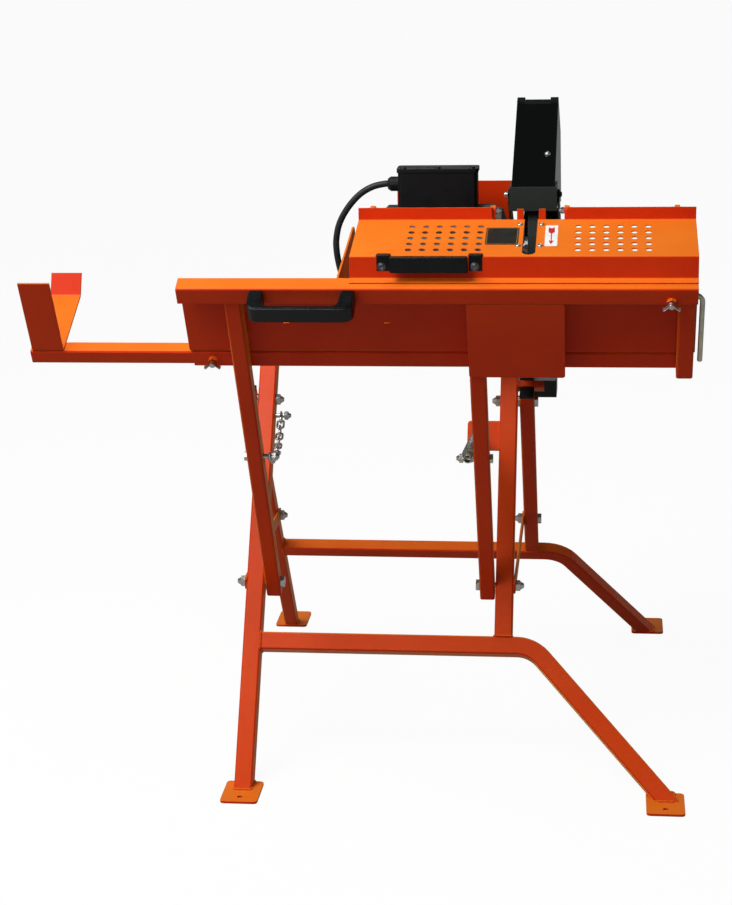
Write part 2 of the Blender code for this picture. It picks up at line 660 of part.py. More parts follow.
def handle(name, span, seat, reach, height, boss, paint, parent):
    """Bow handle with two wide feet, standing off its seat towards the front."""
    x0, x1 = span
    front = seat - reach
    grip = 11.0
    outline = [(x0, seat), (x0, front), (x1, front), (x1, seat), (x1 - boss, seat),
               (x1 - boss - 4, front + grip), (x0 + boss + 4, front + grip), (x0 + boss, seat)]
    radii = [0, 16, 16, 0, 0, 8, 8, 0]
    bm = prism(bmesh.new(), rounded(outline, radii, 3), height, "z")
    edges = [e for e in bm.edges
             if abs(e.verts[0].co.z - e.verts[1].co.z) < 0.01 and min(v.co.y for v in e.verts) < seat - 0.01]
    bmesh.ops.bevel(bm, geom=edges, offset=2.0, segments=1, affect="EDGES")
    finish(name, bm, paint, parent)


def wing_screw(name, axis_at, seat, tip, paint, parent):
    """Wing screw along the trough's v axis, its origin on its own axis."""
    x, s = axis_at
    rings = [(tip, SCREW / 2), (seat - 1, SCREW / 2), (seat - 1, 5.5), (seat - 9, 4.5)]
    bm = shaft(bmesh.new(), rings, "y", (x, s))
    for side in (-1, 1):
        wing = [(x + side * 3.5, s - 3), (x + side * 14, s - 13), (x + side * 19, s - 9),
                (x + side * 4, s + 4)]
        bm = weld(bm, prism(bmesh.new(), rounded(wing, (0, 2.5, 2.5, 0), 2), (seat - 8, seat - 5), "y"))
    finish(name, bm, paint, parent, (x, seat, s))


def build_extension(cradle, red, zinc):
    centre_v = WALL_V + STRINGER / 2
    centre_s = STRINGER_S
    size = ARM_TUBE
    ends = [(x, centre_v, centre_s) for x in (EXTENSION_LEFT, EXTENSION_LEFT + EXTENSION_LENGTH)]
    bar = tube(bmesh.new(), ends, size)
    base = centre_s + size / 2 - WELD + PLATE
    face = centre_v - size / 2 + PLATE
    line = [(face, REST_TOP_S), (face, base), (REST_BASE_V, base),
            (REST_BASE_V + REST_TAIL * cos(REST_RISE), base + REST_TAIL * sin(REST_RISE))]
    rest = prism(bmesh.new(), folded(line, PLATE), REST_X, "x")
    finish("extension_bar", weld(bar, rest), red, cradle, (EXTENSION_LEFT, centre_v, centre_s))
    rod = bpy.data.curves.new("length_stop", "CURVE")
    rod.dimensions = "3D"
    rod.bevel_depth = ROD / 2 * MM
    rod.bevel_resolution = 2
    rod.use_fill_caps = True
    flat = rounded([(ROD_LEFT, ROD_S), (ROD_DROP_X, ROD_S), (ROD_DROP_X, ROD_END_S)], 12.0, 6, closed=False)
    spline = rod.splines.new("POLY")
    spline.points.add(len(flat) - 1)
    for point, place in zip(spline.points, flat):
        point.co = ((place.x - ROD_LEFT) * MM, 0, (place.y - ROD_S) * MM, 1)
    obj = bpy.data.objects.new("length_stop_rod", rod)
    bpy.context.scene.collection.objects.link(obj)
    rod.materials.append(zinc)
    obj.parent = cradle
    obj.location = Vector((ROD_LEFT, 0, ROD_S)) * MM
    tip = centre_v - size / 2 - FIT
    wing_screw("extension_wing_screw", (CLAMP_X, centre_s), WALL_V - 8 - FIT, tip, zinc, cradle)
    wing_screw("stop_wing_screw", (STOP_X, ROD_S), -LOG_V - FIT - 7, -ROD / 2 - FIT, zinc, cradle)


def build_cover(cover, red, black):
    """Cover drawn about its hinge: y and z run from the hinge axis."""
    lip_s = FLANGE_S + FIT + COVER_SHEET
    tip = trough_place(COVER_LIP_V, lip_s)
    corner_v = (COVER_FRONT_Y - PIVOT_Y + lip_s * sin(TILT)) / cos(TILT)
    corner = trough_place(corner_v, lip_s)
    world = [tip, corner, (COVER_FRONT_Y, COVER_BEND_Z), (COVER_REAR_Y, COVER_REAR_Z),
             (COVER_REAR_Y, COVER_REAR_Z + COVER_FLANGE)]
    line = [(y - HINGE_Y, z - HINGE_Z) for y, z in world]
    sheet = prism(bmesh.new(), folded(line, COVER_SHEET, 2.0), COVER_X, "x")
    bend = Vector(line[2])
    slope = (Vector(line[3]) - bend).normalized()
    up = Vector((-slope.y, slope.x))
    depth = (Vector(line[3]) - bend).length

    # Slot with a round end, notch in the rear flange and two fields of holes, cut square to the slope
    cutter = bmesh.new()
    flat = [(BLADE_X + SLOT / 2, depth + 30), (BLADE_X + SLOT / 2, 7 + SLOT / 2)]
    flat += [(BLADE_X + SLOT / 2 * cos(a), 7 + SLOT / 2 - SLOT / 2 * sin(a))
             for a in (pi * k / 8 for k in range(1, 8))]
    flat += [(BLADE_X - SLOT / 2, 7 + SLOT / 2), (BLADE_X - SLOT / 2, depth + 30)]
    outlines = [flat]
    for first in HOLE_LEFT_X:
        for column in range(HOLE_COLUMNS):
            for row in range(HOLE_ROWS):
                spot = (first + column * HOLE_PITCH, HOLE_FIRST + row * HOLE_PITCH)
                outlines.append(circle(*spot, HOLE / 2, 8, pi / 8))
    for outline in outlines:
        lower, upper = [], []
        for x, along in outline:
            spot = bend + slope * along
            for side, loop in ((-6, lower), (6, upper)):
                place = spot + up * side
                loop.append(cutter.verts.new((x, place.x, place.y)))
        cutter.faces.new(lower)
        cutter.faces.new(upper)
        for i in range(len(lower)):
            n = (i + 1) % len(lower)
            cutter.faces.new((lower[i], lower[n], upper[n], upper[i]))
    sheet = cut(sheet, cutter)
    notch = block(bmesh.new(), NOTCH_X, (line[3][0] - 3, line[3][0] + 8), (line[3][1] + 0.2, line[4][1] + 5))
    sheet = cut(sheet, notch)

    # Tabs behind the rear flange turn on the hinge bolts
    back = line[3][0] + COVER_SHEET / 2
    for x, way in zip(POST_X, POST_SIDE):
        start = x + POST_THICK + FIT if way > 0 else x - FIT - TAB
        outline = rounded([(back, -8), (8, -8), (8, 8), (back, 6)], (0, 5, 5, 0), 2)
        sheet = weld(sheet, prism(bmesh.new(), outline, (start, start + TAB), "x",
                                  [circle(0, 0, HINGE_BOLT / 2 + 2 * FIT, 8)]))

    # Liners under the slot, with a tab standing up at the rear
    under = up * (0.5 - COVER_SHEET)
    for side in (-1, 1):
        x = (BLADE_X + side * 11.5, BLADE_X + side * 22.0)
        first = bend + slope * 12 + under
        last = bend + slope * (depth + 1.2) + under
        back_face = [tuple(first), tuple(last), (last.x, last.y + 17)]
        sheet = weld(sheet, prism(bmesh.new(), folded(back_face, SHEET, 0), (min(x), max(x)), "x"))
    finish("cover_sheet", sheet, red, cover)

    front = COVER_FRONT_Y - HINGE_Y - FIT
    top = COVER_BEND_Z + COVER_PULL_TOP - HINGE_Z
    height = (top - COVER_PULL_HEIGHT, top)
    handle("cover_handle", COVER_PULL_X, front, COVER_PULL_REACH, height, 18.0, black, cover)


def build_blade(rotor, steel, bright, black):
    """Blade, its flanges and the motor's shaft, drawn about their axis."""
    outline = []
    for tooth in range(TEETH):
        start = 2 * pi * tooth / TEETH
        step = 2 * pi / TEETH
        gullet = ((0.0, BLADE_R), (0.08, BLADE_R - 8), (0.35, BLADE_R - 10), (0.62, BLADE_R - 3.5))
        for share, radius in gullet:
            angle = start + share * step
            outline.append((radius * cos(angle), radius * sin(angle)))
    bore = circle(0, 0, BLADE_BORE / 2 + FIT, 24)
    half = BLADE_THICK / 2
    blade = prism(bmesh.new(), outline, (BLADE_X - half, BLADE_X + half), "x", [bore])
    finish("saw_blade", blade, steel, rotor)
    radius = BLADE_BORE / 2
    seat = half + FIT
    inner = BLADE_X - seat
    rings = [(12, FAN_SHAFT_R), (40, FAN_SHAFT_R), (40, SHAFT_R), (inner - 20, SHAFT_R), (inner - 20, radius + 4),
             (inner - 5, radius + 4),
             (inner - 5, 36), (inner, 38), (inner, radius), (BLADE_X + 9, radius), (BLADE_X + 9, 10), (BLADE_X + 24, 10)]
    finish("motor_shaft", shaft(bmesh.new(), rings, "x", (0, 0), 16), steel, rotor)
    outer = BLADE_X + 9 + FIT
    rings = [(outer, 10 + FIT), (outer, radius + FIT), (BLADE_X + seat, radius + FIT), (BLADE_X + seat, 38),
             (outer + 4, 36), (outer + 4, -15), (outer + 13, -15), (outer + 13, 10 + FIT)]
    finish("blade_clamp_nut", ring(bmesh.new(), rings, "x", (0, 0), 18), bright, rotor)
    fan = bmesh.new()
    points = []
    for blade_number in range(6):
        a = pi * blade_number / 3
        for offset, r in ((-0.08, 62), (0.08, 62), (0.25, 16), (0.8, 16)):
            points.append((r * cos(a + offset), r * sin(a + offset)))
    prism(fan, points, (14, 30), "x", [circle(0, 0, FAN_SHAFT_R + FIT, 16)])
    finish("cooling_fan", fan, black, rotor)


def build_motor(axis, root, front, red, grey, dark, black, zinc, green, crimson):
    """Motor on its shelf, drawn about the blade axis."""
    ribs = 20
    outline = []
    for k in range(ribs):
        a = 2 * pi * k / ribs
        step = 2 * pi / ribs
        for share, r in ((0.0, MOTOR_R), (0.3, MOTOR_R), (0.42, MOTOR_R - 6), (0.88, MOTOR_R - 6)):
            outline.append((r * cos(a + share * step), r * sin(a + share * step)))
    body = prism(bmesh.new(), outline, MOTOR_X, "x", [circle(0, 0, SHAFT_BORE / 2, 16)])
    bore = SHAFT_BORE / 2
    x = MOTOR_X[0] + WELD
    rings = [(x - 7, bore), (x - 7, MOTOR_R - 3), (x, MOTOR_R - 3), (x, bore)]
    shield = ring(bmesh.new(), rings, "x", (0, 0), 24)
    body = weld(body, shield)
    x = MOTOR_X[1] + FIT
    shield = ring(bmesh.new(), [(x, bore), (x, MOTOR_R - 3), (x + 13, MOTOR_R - 6), (x + 26, 30), (x + 26, HUB_R),
                                (x + 36, HUB_R), (x + 36, bore)], "x", (0, 0), 20)
    finish("drive_side_shield", shield, grey, axis)
    shell = bmesh.new()
    ring(shell, [(5, 20), (5, MOTOR_R - 6), (11, MOTOR_R), (MOTOR_X[0] - 7 - 2 * FIT, MOTOR_R),
                 (MOTOR_X[0] - 7 - 2 * FIT, MOTOR_R - SHEET), (12, MOTOR_R - SHEET), (7, MOTOR_R - 8), (7, 20)], "x", (0, 0), 20)
    slots = bmesh.new()
    for k in range(10):
        a = 2 * pi * k / 10
        near = [(r * cos(a + t), r * sin(a + t)) for r, t in ((26, -0.1), (58, -0.05), (58, 0.05), (26, 0.1))]
        prism(slots, near, (0, 10), "x")
    finish("fan_cover", cut(shell, slots), dark, axis)

    saddle = MOTOR_R - 2
    for x in (60.0, 140.0):
        outline = [(-60, -SHELF_DROP + FIT), (60, -SHELF_DROP + FIT), (60, -60)]
        outline += [(saddle * sin(a), -saddle * cos(a)) for a in (radians(d) for d in range(48, -49, -12))]
        outline.append((-60, -60))
        body = weld(body, prism(bmesh.new(), outline, (x, x + 30), "x"))
    finish("motor_body", body, grey, axis)

    # Folded bracket: shelf under the motor and plate behind it
    line = [(-70, -SHELF_DROP), (78, -SHELF_DROP), (78, 101)]
    bracket = prism(bmesh.new(), folded(line, PLATE), (18, 216), "x")
    half = FRONT_TUBE / 2
    shelf = AXIS_Z - SHELF_DROP - PLATE + WELD
    low = stand_place(WELD - half, CROSSBAR_L - half)
    high = stand_place(WELD - half, CROSSBAR_L + half - WELD)
    end = stand_place(half, CROSSBAR_L + half - WELD)
    world = [low, high, end, (AXIS_Y + 76, shelf), (AXIS_Y - 66, shelf)]
    outline = [(y - AXIS_Y, z - AXIS_Z) for y, z in world]
    for x in GUSSET_X:
        bracket = weld(bracket, prism(bmesh.new(), outline, (x, x + 5), "x"))
    bar_y, bar_z = stand_place(0, CROSSBAR_L)
    inner = LEG_X - half - FIT
    ends = [(-inner, bar_y - AXIS_Y, bar_z - AXIS_Z), (inner, bar_y - AXIS_Y, bar_z - AXIS_Z)]
    bar = tube(bmesh.new(), ends, FRONT_TUBE, normal=(0, cos(LEAN), -sin(LEAN)))
    finish("motor_crossbar", weld(bar, bracket), red, axis)

    # Terminal box with its lid and cable gland
    box_y = TERMINAL_Y
    case = block(bmesh.new(), TERMINAL_X, box_y, (MOTOR_R + FIT, TERMINAL_TOP))
    upright = [e for e in case.edges if abs(e.verts[0].co.z - e.verts[1].co.z) > 1]
    bmesh.ops.bevel(case, geom=upright, offset=4.0, segments=2, affect="EDGES")
    x0, x1 = TERMINAL_X
    lid_z = TERMINAL_TOP + FIT
    outline = [(x0 - 2, box_y[0] - 1), (x1 + 2, box_y[0] - 1), (x1 + 2, box_y[1] + 1), (x0 - 2, box_y[1] + 1)]
    lid = prism(bmesh.new(), rounded(outline, 5, 2), (lid_z, lid_z + LID_THICK), "z")
    for x in (x0 + 9, (x0 + x1) / 2, x1 - 9):
        rings = [(lid_z + LID_THICK - 1, 6), (lid_z + LID_THICK + 2.5, 5)]
        lid = weld(lid, shaft(bmesh.new(), rings, "z", (x, box_y[0] + 7), 12))
    finish("terminal_box_lid", lid, black, axis)
    bore = CABLE_R + 3 * FIT
    rings = [(x0 + WELD, bore), (x0 + WELD, GLAND_R), (x0 - 15, GLAND_R), (x0 - 20, GLAND_R - 3.5), (x0 - 20, bore)]
    gland = ring(bmesh.new(), rings, "x", (GLAND_Y - AXIS_Y, GLAND_Z - AXIS_Z))
    finish("terminal_box", weld(case, gland), black, axis)

    # Switch on the crossbar, hidden behind the trough
    back = -FRONT_TUBE / 2 - FIT
    face = back - SWITCH_DEEP
    middle = (SWITCH_X[0] + SWITCH_X[1]) / 2
    case = block(bmesh.new(), SWITCH_X, (face, back), SWITCH_L)
    half_w, half_h = BUTTON[0] / 2, BUTTON[1] / 2
    cutter = bmesh.new()
    for x in BUTTON_X:
        block(cutter, (x - half_w, x + half_w), (face - 3, face + 14), (BUTTON_L - half_h, BUTTON_L + half_h))
    socket_at = (middle, back - SWITCH_DEEP / 2)
    shaft(cutter, [(SWITCH_L[0] - 2, 19), (SWITCH_L[0] + 30, 19)], "z", socket_at, 16)
    rings = [(face + WELD, bore), (face + WELD, SWITCH_GLAND_R), (face - 12, SWITCH_GLAND_R),
             (face - 20, SWITCH_GLAND_R - 2.5), (face - 20, bore)]
    gland = ring(bmesh.new(), rings, "y", (middle, SWITCH_GLAND_L))
    finish("switch_housing", weld(cut(case, cutter), gland), black, front)
    for name, x, paint in (("start_button", BUTTON_X[0], green), ("stop_button", BUTTON_X[1], crimson)):
        cap_w, cap_h = half_w - 0.4, half_h - 0.4
        cap = block(bmesh.new(), (x - cap_w, x + cap_w), (face - 3, face + 9), (BUTTON_L - cap_h, BUTTON_L + cap_h))
        finish(name, cap, paint, front, (x, face + 9, BUTTON_L))
    cable = bpy.data.curves.new("motor_cable", "CURVE")
    cable.dimensions = "3D"
    cable.bevel_depth = CABLE_R * MM
    cable.bevel_resolution = 2
    cable.use_fill_caps = True
    route = [(x, GLAND_Y, GLAND_Z) for x in (24, 13, 4)] + CABLE_ROUTE
    route += [(middle, *stand_place(face - out, SWITCH_GLAND_L)) for out in (34, 20, 4)]
    points = smooth(route, 3)
    spline = cable.splines.new("POLY")
    spline.points.add(len(points) - 1)
    for point, place in zip(spline.points, points):
        point.co = (*(place * MM), 1)
    obj = bpy.data.objects.new("motor_cable", cable)
    bpy.context.scene.collection.objects.link(obj)
    cable.materials.append(black)
    obj.parent = root


def smooth(points, steps):
    """Catmull-Rom curve through the points."""
    points = [Vector(p) for p in points]
    result = []
    for i in range(len(points) - 1):
        p1, p2 = points[i], points[i + 1]
        p0 = points[i - 1] if i else p1 * 2 - p2
        p3 = points[i + 2] if i + 2 < len(points) else p2 * 2 - p1
        for k in range(steps):
            t = k / steps
            result.append(0.5 * ((2 * p1) + (p2 - p0) * t + (2 * p0 - 5 * p1 + 4 * p2 - p3) * t ** 2
                                 + (3 * p1 - p0 - 3 * p2 + p3) * t ** 3))
    return result + [points[-1]]


def build_guards(axis, guard, red, black, zinc):
    """Lower box fixed to the stand; hood, collar, nose and arms turn about the blade axis."""
    # Lower box: side walls and a strip round the blade, open at the top
    rim = [(-216, -93), (-216, -130), (-130, -188), (-40, -223), (STUB_CLEAR, -223), (STUB_CLEAR + 6, -279),
           (126, -279), (126, -180)] + arc(220, radians(-50), radians(8), 6)
    open_top = [(60, -30), (-45, -30), (-60, -93)]
    inside = [(-214, -70), (-214, -129), (-129, -186), (-40, -221), (STUB_CLEAR + 2, -221),
              (STUB_CLEAR + 8, -285), (124, -285), (124, -179)] + arc(218, radians(-50), radians(8), 6) + [(216, 60), (-100, 60)]
    half = BOX_WIDTH / 2
    shell = prism(bmesh.new(), rim + open_top, (BLADE_X - half, BLADE_X + half), "x")
    hollow = prism(bmesh.new(), inside, (BLADE_X - half + SHEET, BLADE_X + half - SHEET), "x")
    box = cut(shell, hollow)

    rim = [(-230, 104), (-230, 139), (5, 254), (172, 172), (225, 62), (225, 40), (-165, 104)]
    inside = [(-228, 90), (-228, 138), (5, 251.8), (170.5, 170.5), (223, 61.5), (223, 20)]
    half = HOOD_WIDTH / 2
    shell = prism(bmesh.new(), rim, (BLADE_X - half, BLADE_X + half), "x")
    hollow = prism(bmesh.new(), inside, (BLADE_X - half + SHEET, BLADE_X + half - SHEET), "x")
    finish("blade_hood", cut(shell, hollow), black, guard)

    # Collar round the hood's front foot, and the nose that runs through the slots in front of the teeth
    x0, x1 = BLADE_X - half - FIT, BLADE_X + half + FIT
    front = -230 - FIT
    line = [(x0, -172), (x0, front), (x1, front), (x1, -172)]
    band = prism(bmesh.new(), folded(line, COLLAR_SHEET, 0), (101, 104 + COLLAR_HIGH), "z")
    foot = block(bmesh.new(), (x0 - WELD, x1 + WELD), (front - WELD, -186), (101, 103.7))
    outer = arc(NOSE_R[1], pi - NOSE_TO, pi - NOSE_FROM, 10)
    inner = arc(NOSE_R[0], pi - NOSE_FROM, pi - NOSE_TO, 10)
    half = NOSE_WIDTH / 2
    channel = prism(bmesh.new(), outer + inner, (BLADE_X - half, BLADE_X + half), "x")
    core = arc(NOSE_R[1] - SHEET, pi - NOSE_TO - 0.1, pi - NOSE_FROM + 0.1, 12)
    core += arc(NOSE_R[0] - 5, pi - NOSE_FROM + 0.1, pi - NOSE_TO - 0.1, 12)
    hollow = prism(bmesh.new(), core, (BLADE_X - half + SHEET, BLADE_X + half - SHEET), "x")
    finish("guard_nose", weld(band, foot, cut(channel, hollow)), black, guard)

    # Arms from the collar to the blade axis, one each side, each with its screw
    pin = Vector((-205.0, 121.0))
    tangent = pin.normalized()
    across = Vector((-tangent.y, tangent.x))
    start = atan2(tangent.y, tangent.x)
    spread = radians(28)
    half = HOOD_WIDTH / 2 + COLLAR_SHEET + 2 * FIT
    arms = (("guard_arm_right", 1, 18.0, 6.3), ("guard_arm_left", -1, 36.0, HUB_R + 3 * FIT))
    for name, way, hub, bore in arms:
        outline = []
        for k in range(13):
            angle = start + spread + (2 * pi - 2 * spread) * k / 12
            outline.append((hub * cos(angle), hub * sin(angle)))
        outline += [tuple(pin - across * 11), tuple(pin + across * 11)]
        near = BLADE_X + way * half
        span = sorted((near, near + way * 3.5))
        plate = prism(bmesh.new(), outline, span, "x", [circle(0, 0, bore, 24)])
        screw = shaft(bmesh.new(), [(near + way * 3, -6.5), (near + way * 8, -6.5)], "x", pin)
        finish(name, weld(plate, screw), black, guard)

    # Bracket and pin on the lower box for the right arm
    x = BLADE_X + BOX_WIDTH / 2
    outline = [(-22, -85), (22, -85)] + [(22 * cos(a), 22 * sin(a)) for a in (pi * k / 8 for k in range(9))]
    bracket = prism(bmesh.new(), outline, (x - WELD, x + PLATE), "x")
    pin = shaft(bmesh.new(), [(x + PLATE - WELD, 6), (x + 13, 6), (x + 13, 9), (x + 18, 8)], "x", (0, 0))
    finish("lower_blade_box", weld(box, bracket, pin), black, axis)


def link(bm, centre, along, across, length, width, wire):
    """One oval chain link, as a closed tube."""
    bend = width / 2
    straight = length / 2 - bend
    path = []
    for k in range(4):
        a = -pi / 2 + pi * k / 3
        path.append((straight + bend * cos(a), bend * sin(a)))
    for k in range(4):
        a = pi / 2 + pi * k / 3
        path.append((-straight + bend * cos(a), bend * sin(a)))
    up = along.cross(across)
    count = len(path)
    sides = 6
    loops = []
    for i, (a, b) in enumerate(path):
        last = Vector(path[i - 1])
        ahead = Vector(path[(i + 1) % count])
        way = (ahead - last).normalized()
        out = Vector((way.y, -way.x))
        loop = []
        for k in range(sides):
            t = 2 * pi * (k + 0.5) / sides
            flat = Vector((a, b)) + out * (wire / 2 * cos(t))
            loop.append(bm.verts.new(centre + along * flat.x + across * flat.y + up * (wire / 2 * sin(t))))
        loops.append(loop)
    for i in range(count):
        for k in range(sides):
            n = (k + 1) % sides
            bm.faces.new((loops[i][k], loops[i][n], loops[(i + 1) % count][n], loops[(i + 1) % count][k]))
    return bm


def build_links(root, strut, zinc, spring_steel):
    """Stop chain, return spring and their plate and bolts."""
    # Chain from the left leg to the left arm, hanging in a shallow bow
    top_y, top_z = stand_place(0, CHAIN_BOLT_L)
    low_y, low_z = trough_place(0, ARM_BOLT_S)
    first = Vector((CHAIN_TOP_X, top_y, top_z))
    last = Vector((CHAIN_LOW_X, low_y, low_z))
    chord = last - first
    drop = Vector((0, 0, 4 * CHAIN_SAG))
    length = chord.length + 8 * CHAIN_SAG ** 2 / (3 * chord.length)
    past_bolt = ARM_BOLT / 2 + 3 * FIT

    def bow(t):
        return first + chord * t - drop * (t * (1 - t))

    nodes = [first - (chord - drop).normalized() * past_bolt]
    for k in range(1, CHAIN_LINKS):
        nodes.append(bow((k * (length + 2 * past_bolt) / CHAIN_LINKS - past_bolt) / length))
    nodes.append(last + (chord + drop).normalized() * past_bolt)
    chain = None
    for k in range(CHAIN_LINKS):
        step = nodes[k + 1] - nodes[k]
        along = step.normalized()
        flat = Vector((1, 0, 0))
        flat = (flat - along * flat.dot(along)).normalized()
        across = flat if k % 2 else along.cross(flat).normalized()
        one = link(bmesh.new(), (nodes[k] + nodes[k + 1]) / 2, along, across,
                   step.length + CHAIN_WIRE * cos(pi / 6) - CHAIN_OVERLAP,
                   CHAIN_INNER_WIDTH + CHAIN_WIRE, CHAIN_WIRE)
        chain = weld(chain, one) if chain else one
    finish("stop_chain", chain, zinc, root)

    # Spring rod pinned to the mid arm; the spring bears on the rod's collar and on the plate
    plate_y, plate_z = stand_place(0, SPRING_PLATE_L)
    length = hypot(plate_y - low_y, plate_z - low_z)
    rod = bmesh.new()
    low, high = STRUT_COLLAR
    outer, bore = STRUT_ROD / 2, STRUT_ROD / 2 - 1.5
    end = length + STRUT_TAIL
    rings = [(-STRUT_NOSE, bore), (-STRUT_NOSE, outer), (low, outer), (low, STRUT_COLLAR_R),
             (high, STRUT_COLLAR_R), (high, outer - 1), (end, outer - 1), (end, bore - 1)]
    ring(rod, rings, "y", (0, 0), 12)
    cutter = shaft(bmesh.new(), [(-20, ARM_BOLT / 2 + FIT), (20, ARM_BOLT / 2 + FIT)], "x", (0, 0))
    finish("spring_rod", cut(rod, cutter), zinc, strut)
    wire = bpy.data.curves.new("return_spring", "CURVE")
    wire.dimensions = "3D"
    wire.bevel_depth = SPRING_WIRE / 2 * MM
    wire.bevel_resolution = 1
    wire.use_fill_caps = True
    start = high + FIT + SPRING_WIRE / 2
    stop = length - 13.5
    per_curl = 8
    count = SPRING_CURLS * per_curl
    spline = wire.splines.new("POLY")
    spline.points.add(count)
    points = []
    for k in range(count + 1):
        a = 2 * pi * k / per_curl
        points.append(Vector((SPRING_R * cos(a), start + (stop - start) * k / count, SPRING_R * sin(a))))
    for point, place in zip(spline.points, points):
        point.co = (*(place * MM), 1)
    obj = bpy.data.objects.new("return_spring", wire)
    bpy.context.scene.collection.objects.link(obj)
    wire.materials.append(spring_steel)
    obj.parent = strut


def main():
    for obj in list(bpy.data.objects):
        bpy.data.objects.remove(obj)
    red = material("red_powder_coat", "D8450F", 0.38)
    black = material("black_enamel", "101214", 0.35)
    plastic = material("black_plastic", "16181A", 0.55)
    dark = material("dark_grey_plastic", "34363A", 0.5)
    grey = material("cast_aluminium", "7C7A76", 0.55, 0.6)
    zinc = material("zinc_plate", "B8BCC0", 0.3, 0.9)
    steel = material("blade_steel", "A9ADB0", 0.28, 1.0)
    spring_steel = material("spring_steel", "9C9C98", 0.35, 0.9)
    green = material("green_button", "1F7A3A", 0.45)
    crimson = material("red_button", "B01822", 0.45)

    root = empty("saw", (0, -CENTRE_Y, 0))
    front = empty("front_frame", (0, -FOOT_SPREAD, 0), root, -LEAN)
    rear = empty("rear_frame", (0, FOOT_SPREAD, 0), root, LEAN)
    cradle = empty("trough_pivot", (0, PIVOT_Y, PIVOT_Z), root, TILT)
    cover = empty("cover_hinge", (0, HINGE_Y, HINGE_Z), root)
    axis = empty("blade_axis", (0, AXIS_Y, AXIS_Z), root)
    guard = empty("guard_axis", (0, AXIS_Y, AXIS_Z), root)
    low_y, low_z = trough_place(0, ARM_BOLT_S)
    plate_y, plate_z = stand_place(0, SPRING_PLATE_L)
    strut = empty("strut_pivot", (STRUT_X, low_y, low_z), root, atan2(plate_z - low_z, plate_y - low_y))

    build_stand(root, front, rear, red, plastic, zinc)
    build_trough(cradle, red, plastic, zinc)
    build_extension(cradle, red, zinc)
    build_cover(cover, red, plastic)
    build_blade(axis, steel, zinc, plastic)
    build_motor(axis, root, front, red, grey, dark, plastic, zinc, green, crimson)
    build_guards(axis, guard, red, black, zinc)
    build_links(root, strut, zinc, spring_steel)


main()
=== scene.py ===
from math import atan2, cos, hypot, pi, radians, sin, tan

import bmesh
import bpy
from mathutils import Matrix, Vector

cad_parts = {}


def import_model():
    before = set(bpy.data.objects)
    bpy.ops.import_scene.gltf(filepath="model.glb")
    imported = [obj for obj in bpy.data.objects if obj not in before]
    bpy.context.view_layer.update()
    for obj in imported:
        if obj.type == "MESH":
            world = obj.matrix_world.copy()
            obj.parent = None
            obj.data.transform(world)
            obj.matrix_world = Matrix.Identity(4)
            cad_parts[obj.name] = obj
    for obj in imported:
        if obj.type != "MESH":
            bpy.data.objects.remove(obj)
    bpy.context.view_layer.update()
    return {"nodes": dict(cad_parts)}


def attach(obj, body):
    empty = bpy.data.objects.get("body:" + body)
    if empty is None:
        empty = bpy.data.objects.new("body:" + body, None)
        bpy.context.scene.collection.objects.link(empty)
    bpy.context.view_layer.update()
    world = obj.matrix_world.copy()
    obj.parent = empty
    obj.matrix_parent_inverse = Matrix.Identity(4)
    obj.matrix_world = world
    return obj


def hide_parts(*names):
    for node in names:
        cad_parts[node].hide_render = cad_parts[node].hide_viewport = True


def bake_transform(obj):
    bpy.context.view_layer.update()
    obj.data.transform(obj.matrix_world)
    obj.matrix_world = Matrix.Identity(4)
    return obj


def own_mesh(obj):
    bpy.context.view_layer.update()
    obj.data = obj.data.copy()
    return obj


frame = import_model()

MM = 0.001
SHIFT_Y = 41.1                 # the part's drawing frame to the row frame

# Places shared with the part's source, in millimetres of its drawing frame
FIT = 0.3
SHEET = 2.0
LEAN = radians(33.6)
FOOT_SPREAD = 378.5
FRONT_TUBE = 30.0
REAR_TUBE = 25.0
LEG_X = 213.0
REAR_X = 244.1
FRONT_RAIL_L = 248.3
REAR_RAIL_L = 254.8
FRONT_SPLAY = radians(48.4)
REAR_SPLAY = radians(56.6)
FRONT_ELBOW_X = 261.6
REAR_ELBOW_X = 298.7
FOOT_THICK = 4.0
STUB_L = 718.0
CROSSBAR_L = 835.0
TILT = radians(26.12)
PIVOT_Z = 295.1
PIVOT_Y = -(FOOT_SPREAD - PIVOT_Z * tan(LEAN))
ARM_TUBE = 25.0
ARM_X = 183.5
ARM_BOLT = 8.0
ARM_BOLT_S = 292.0
WALL_V = ARM_TUBE / 2 + FIT
LOG_V = WALL_V + SHEET
FLANGE_S = 645.6
FLOOR_S = 503.0
STRINGER = 30.0
STRINGER_S = FLOOR_S - SHEET - FIT - STRINGER / 2
BLADE_X = 263.2
AXIS_Y = -20.0
AXIS_Z = 845.0
BLADE_R = 202.5
TEETH = 40
COVER_BEND = Vector((0, -457.7, 913.4))
COVER_REAR = Vector((0, -328.0, 945.8))
CHAIN_BOLT_L = 654.0
CHAIN_TOP_X = -187.0
CHAIN_LOW_X = -160.0
CHAIN_WIRE = 4.0
CHAIN_WIDTH = 9.0
CHAIN_LINKS = 15
CHAIN_SAG = 32.0
CHAIN_OVERLAP = 0.4
STRUT_X = 161.0
STRUT_SEAT = 30.0
SPRING_PLATE_L = 620.0
SPRING_CURLS = 17
SPRING_WIRE = 3.0
SPRING_R = 11.0
CLAMP_X = -231.0
STOP_X = 474.0
ROD_S = 624.0
CABLE_R = 5.5
CABLE_ROUTE = [(24, -15, 953), (13, -15, 953), (4, -15, 953), (-17, -15, 948), (-39, -15, 935), (-60, -15, 912),
               (-75, -15, 885), (-81, -15, 858), (-81, -14.5, 838), (-79, -12, 820), (-76.5, -6, 803.5),
               (-74, 5, 789.5)]
SWITCH_MID = -72.0
SWITCH_DEEP = 52.0
SWITCH_GLAND_L = 867.5
HOOD_WIDTH = 68.0

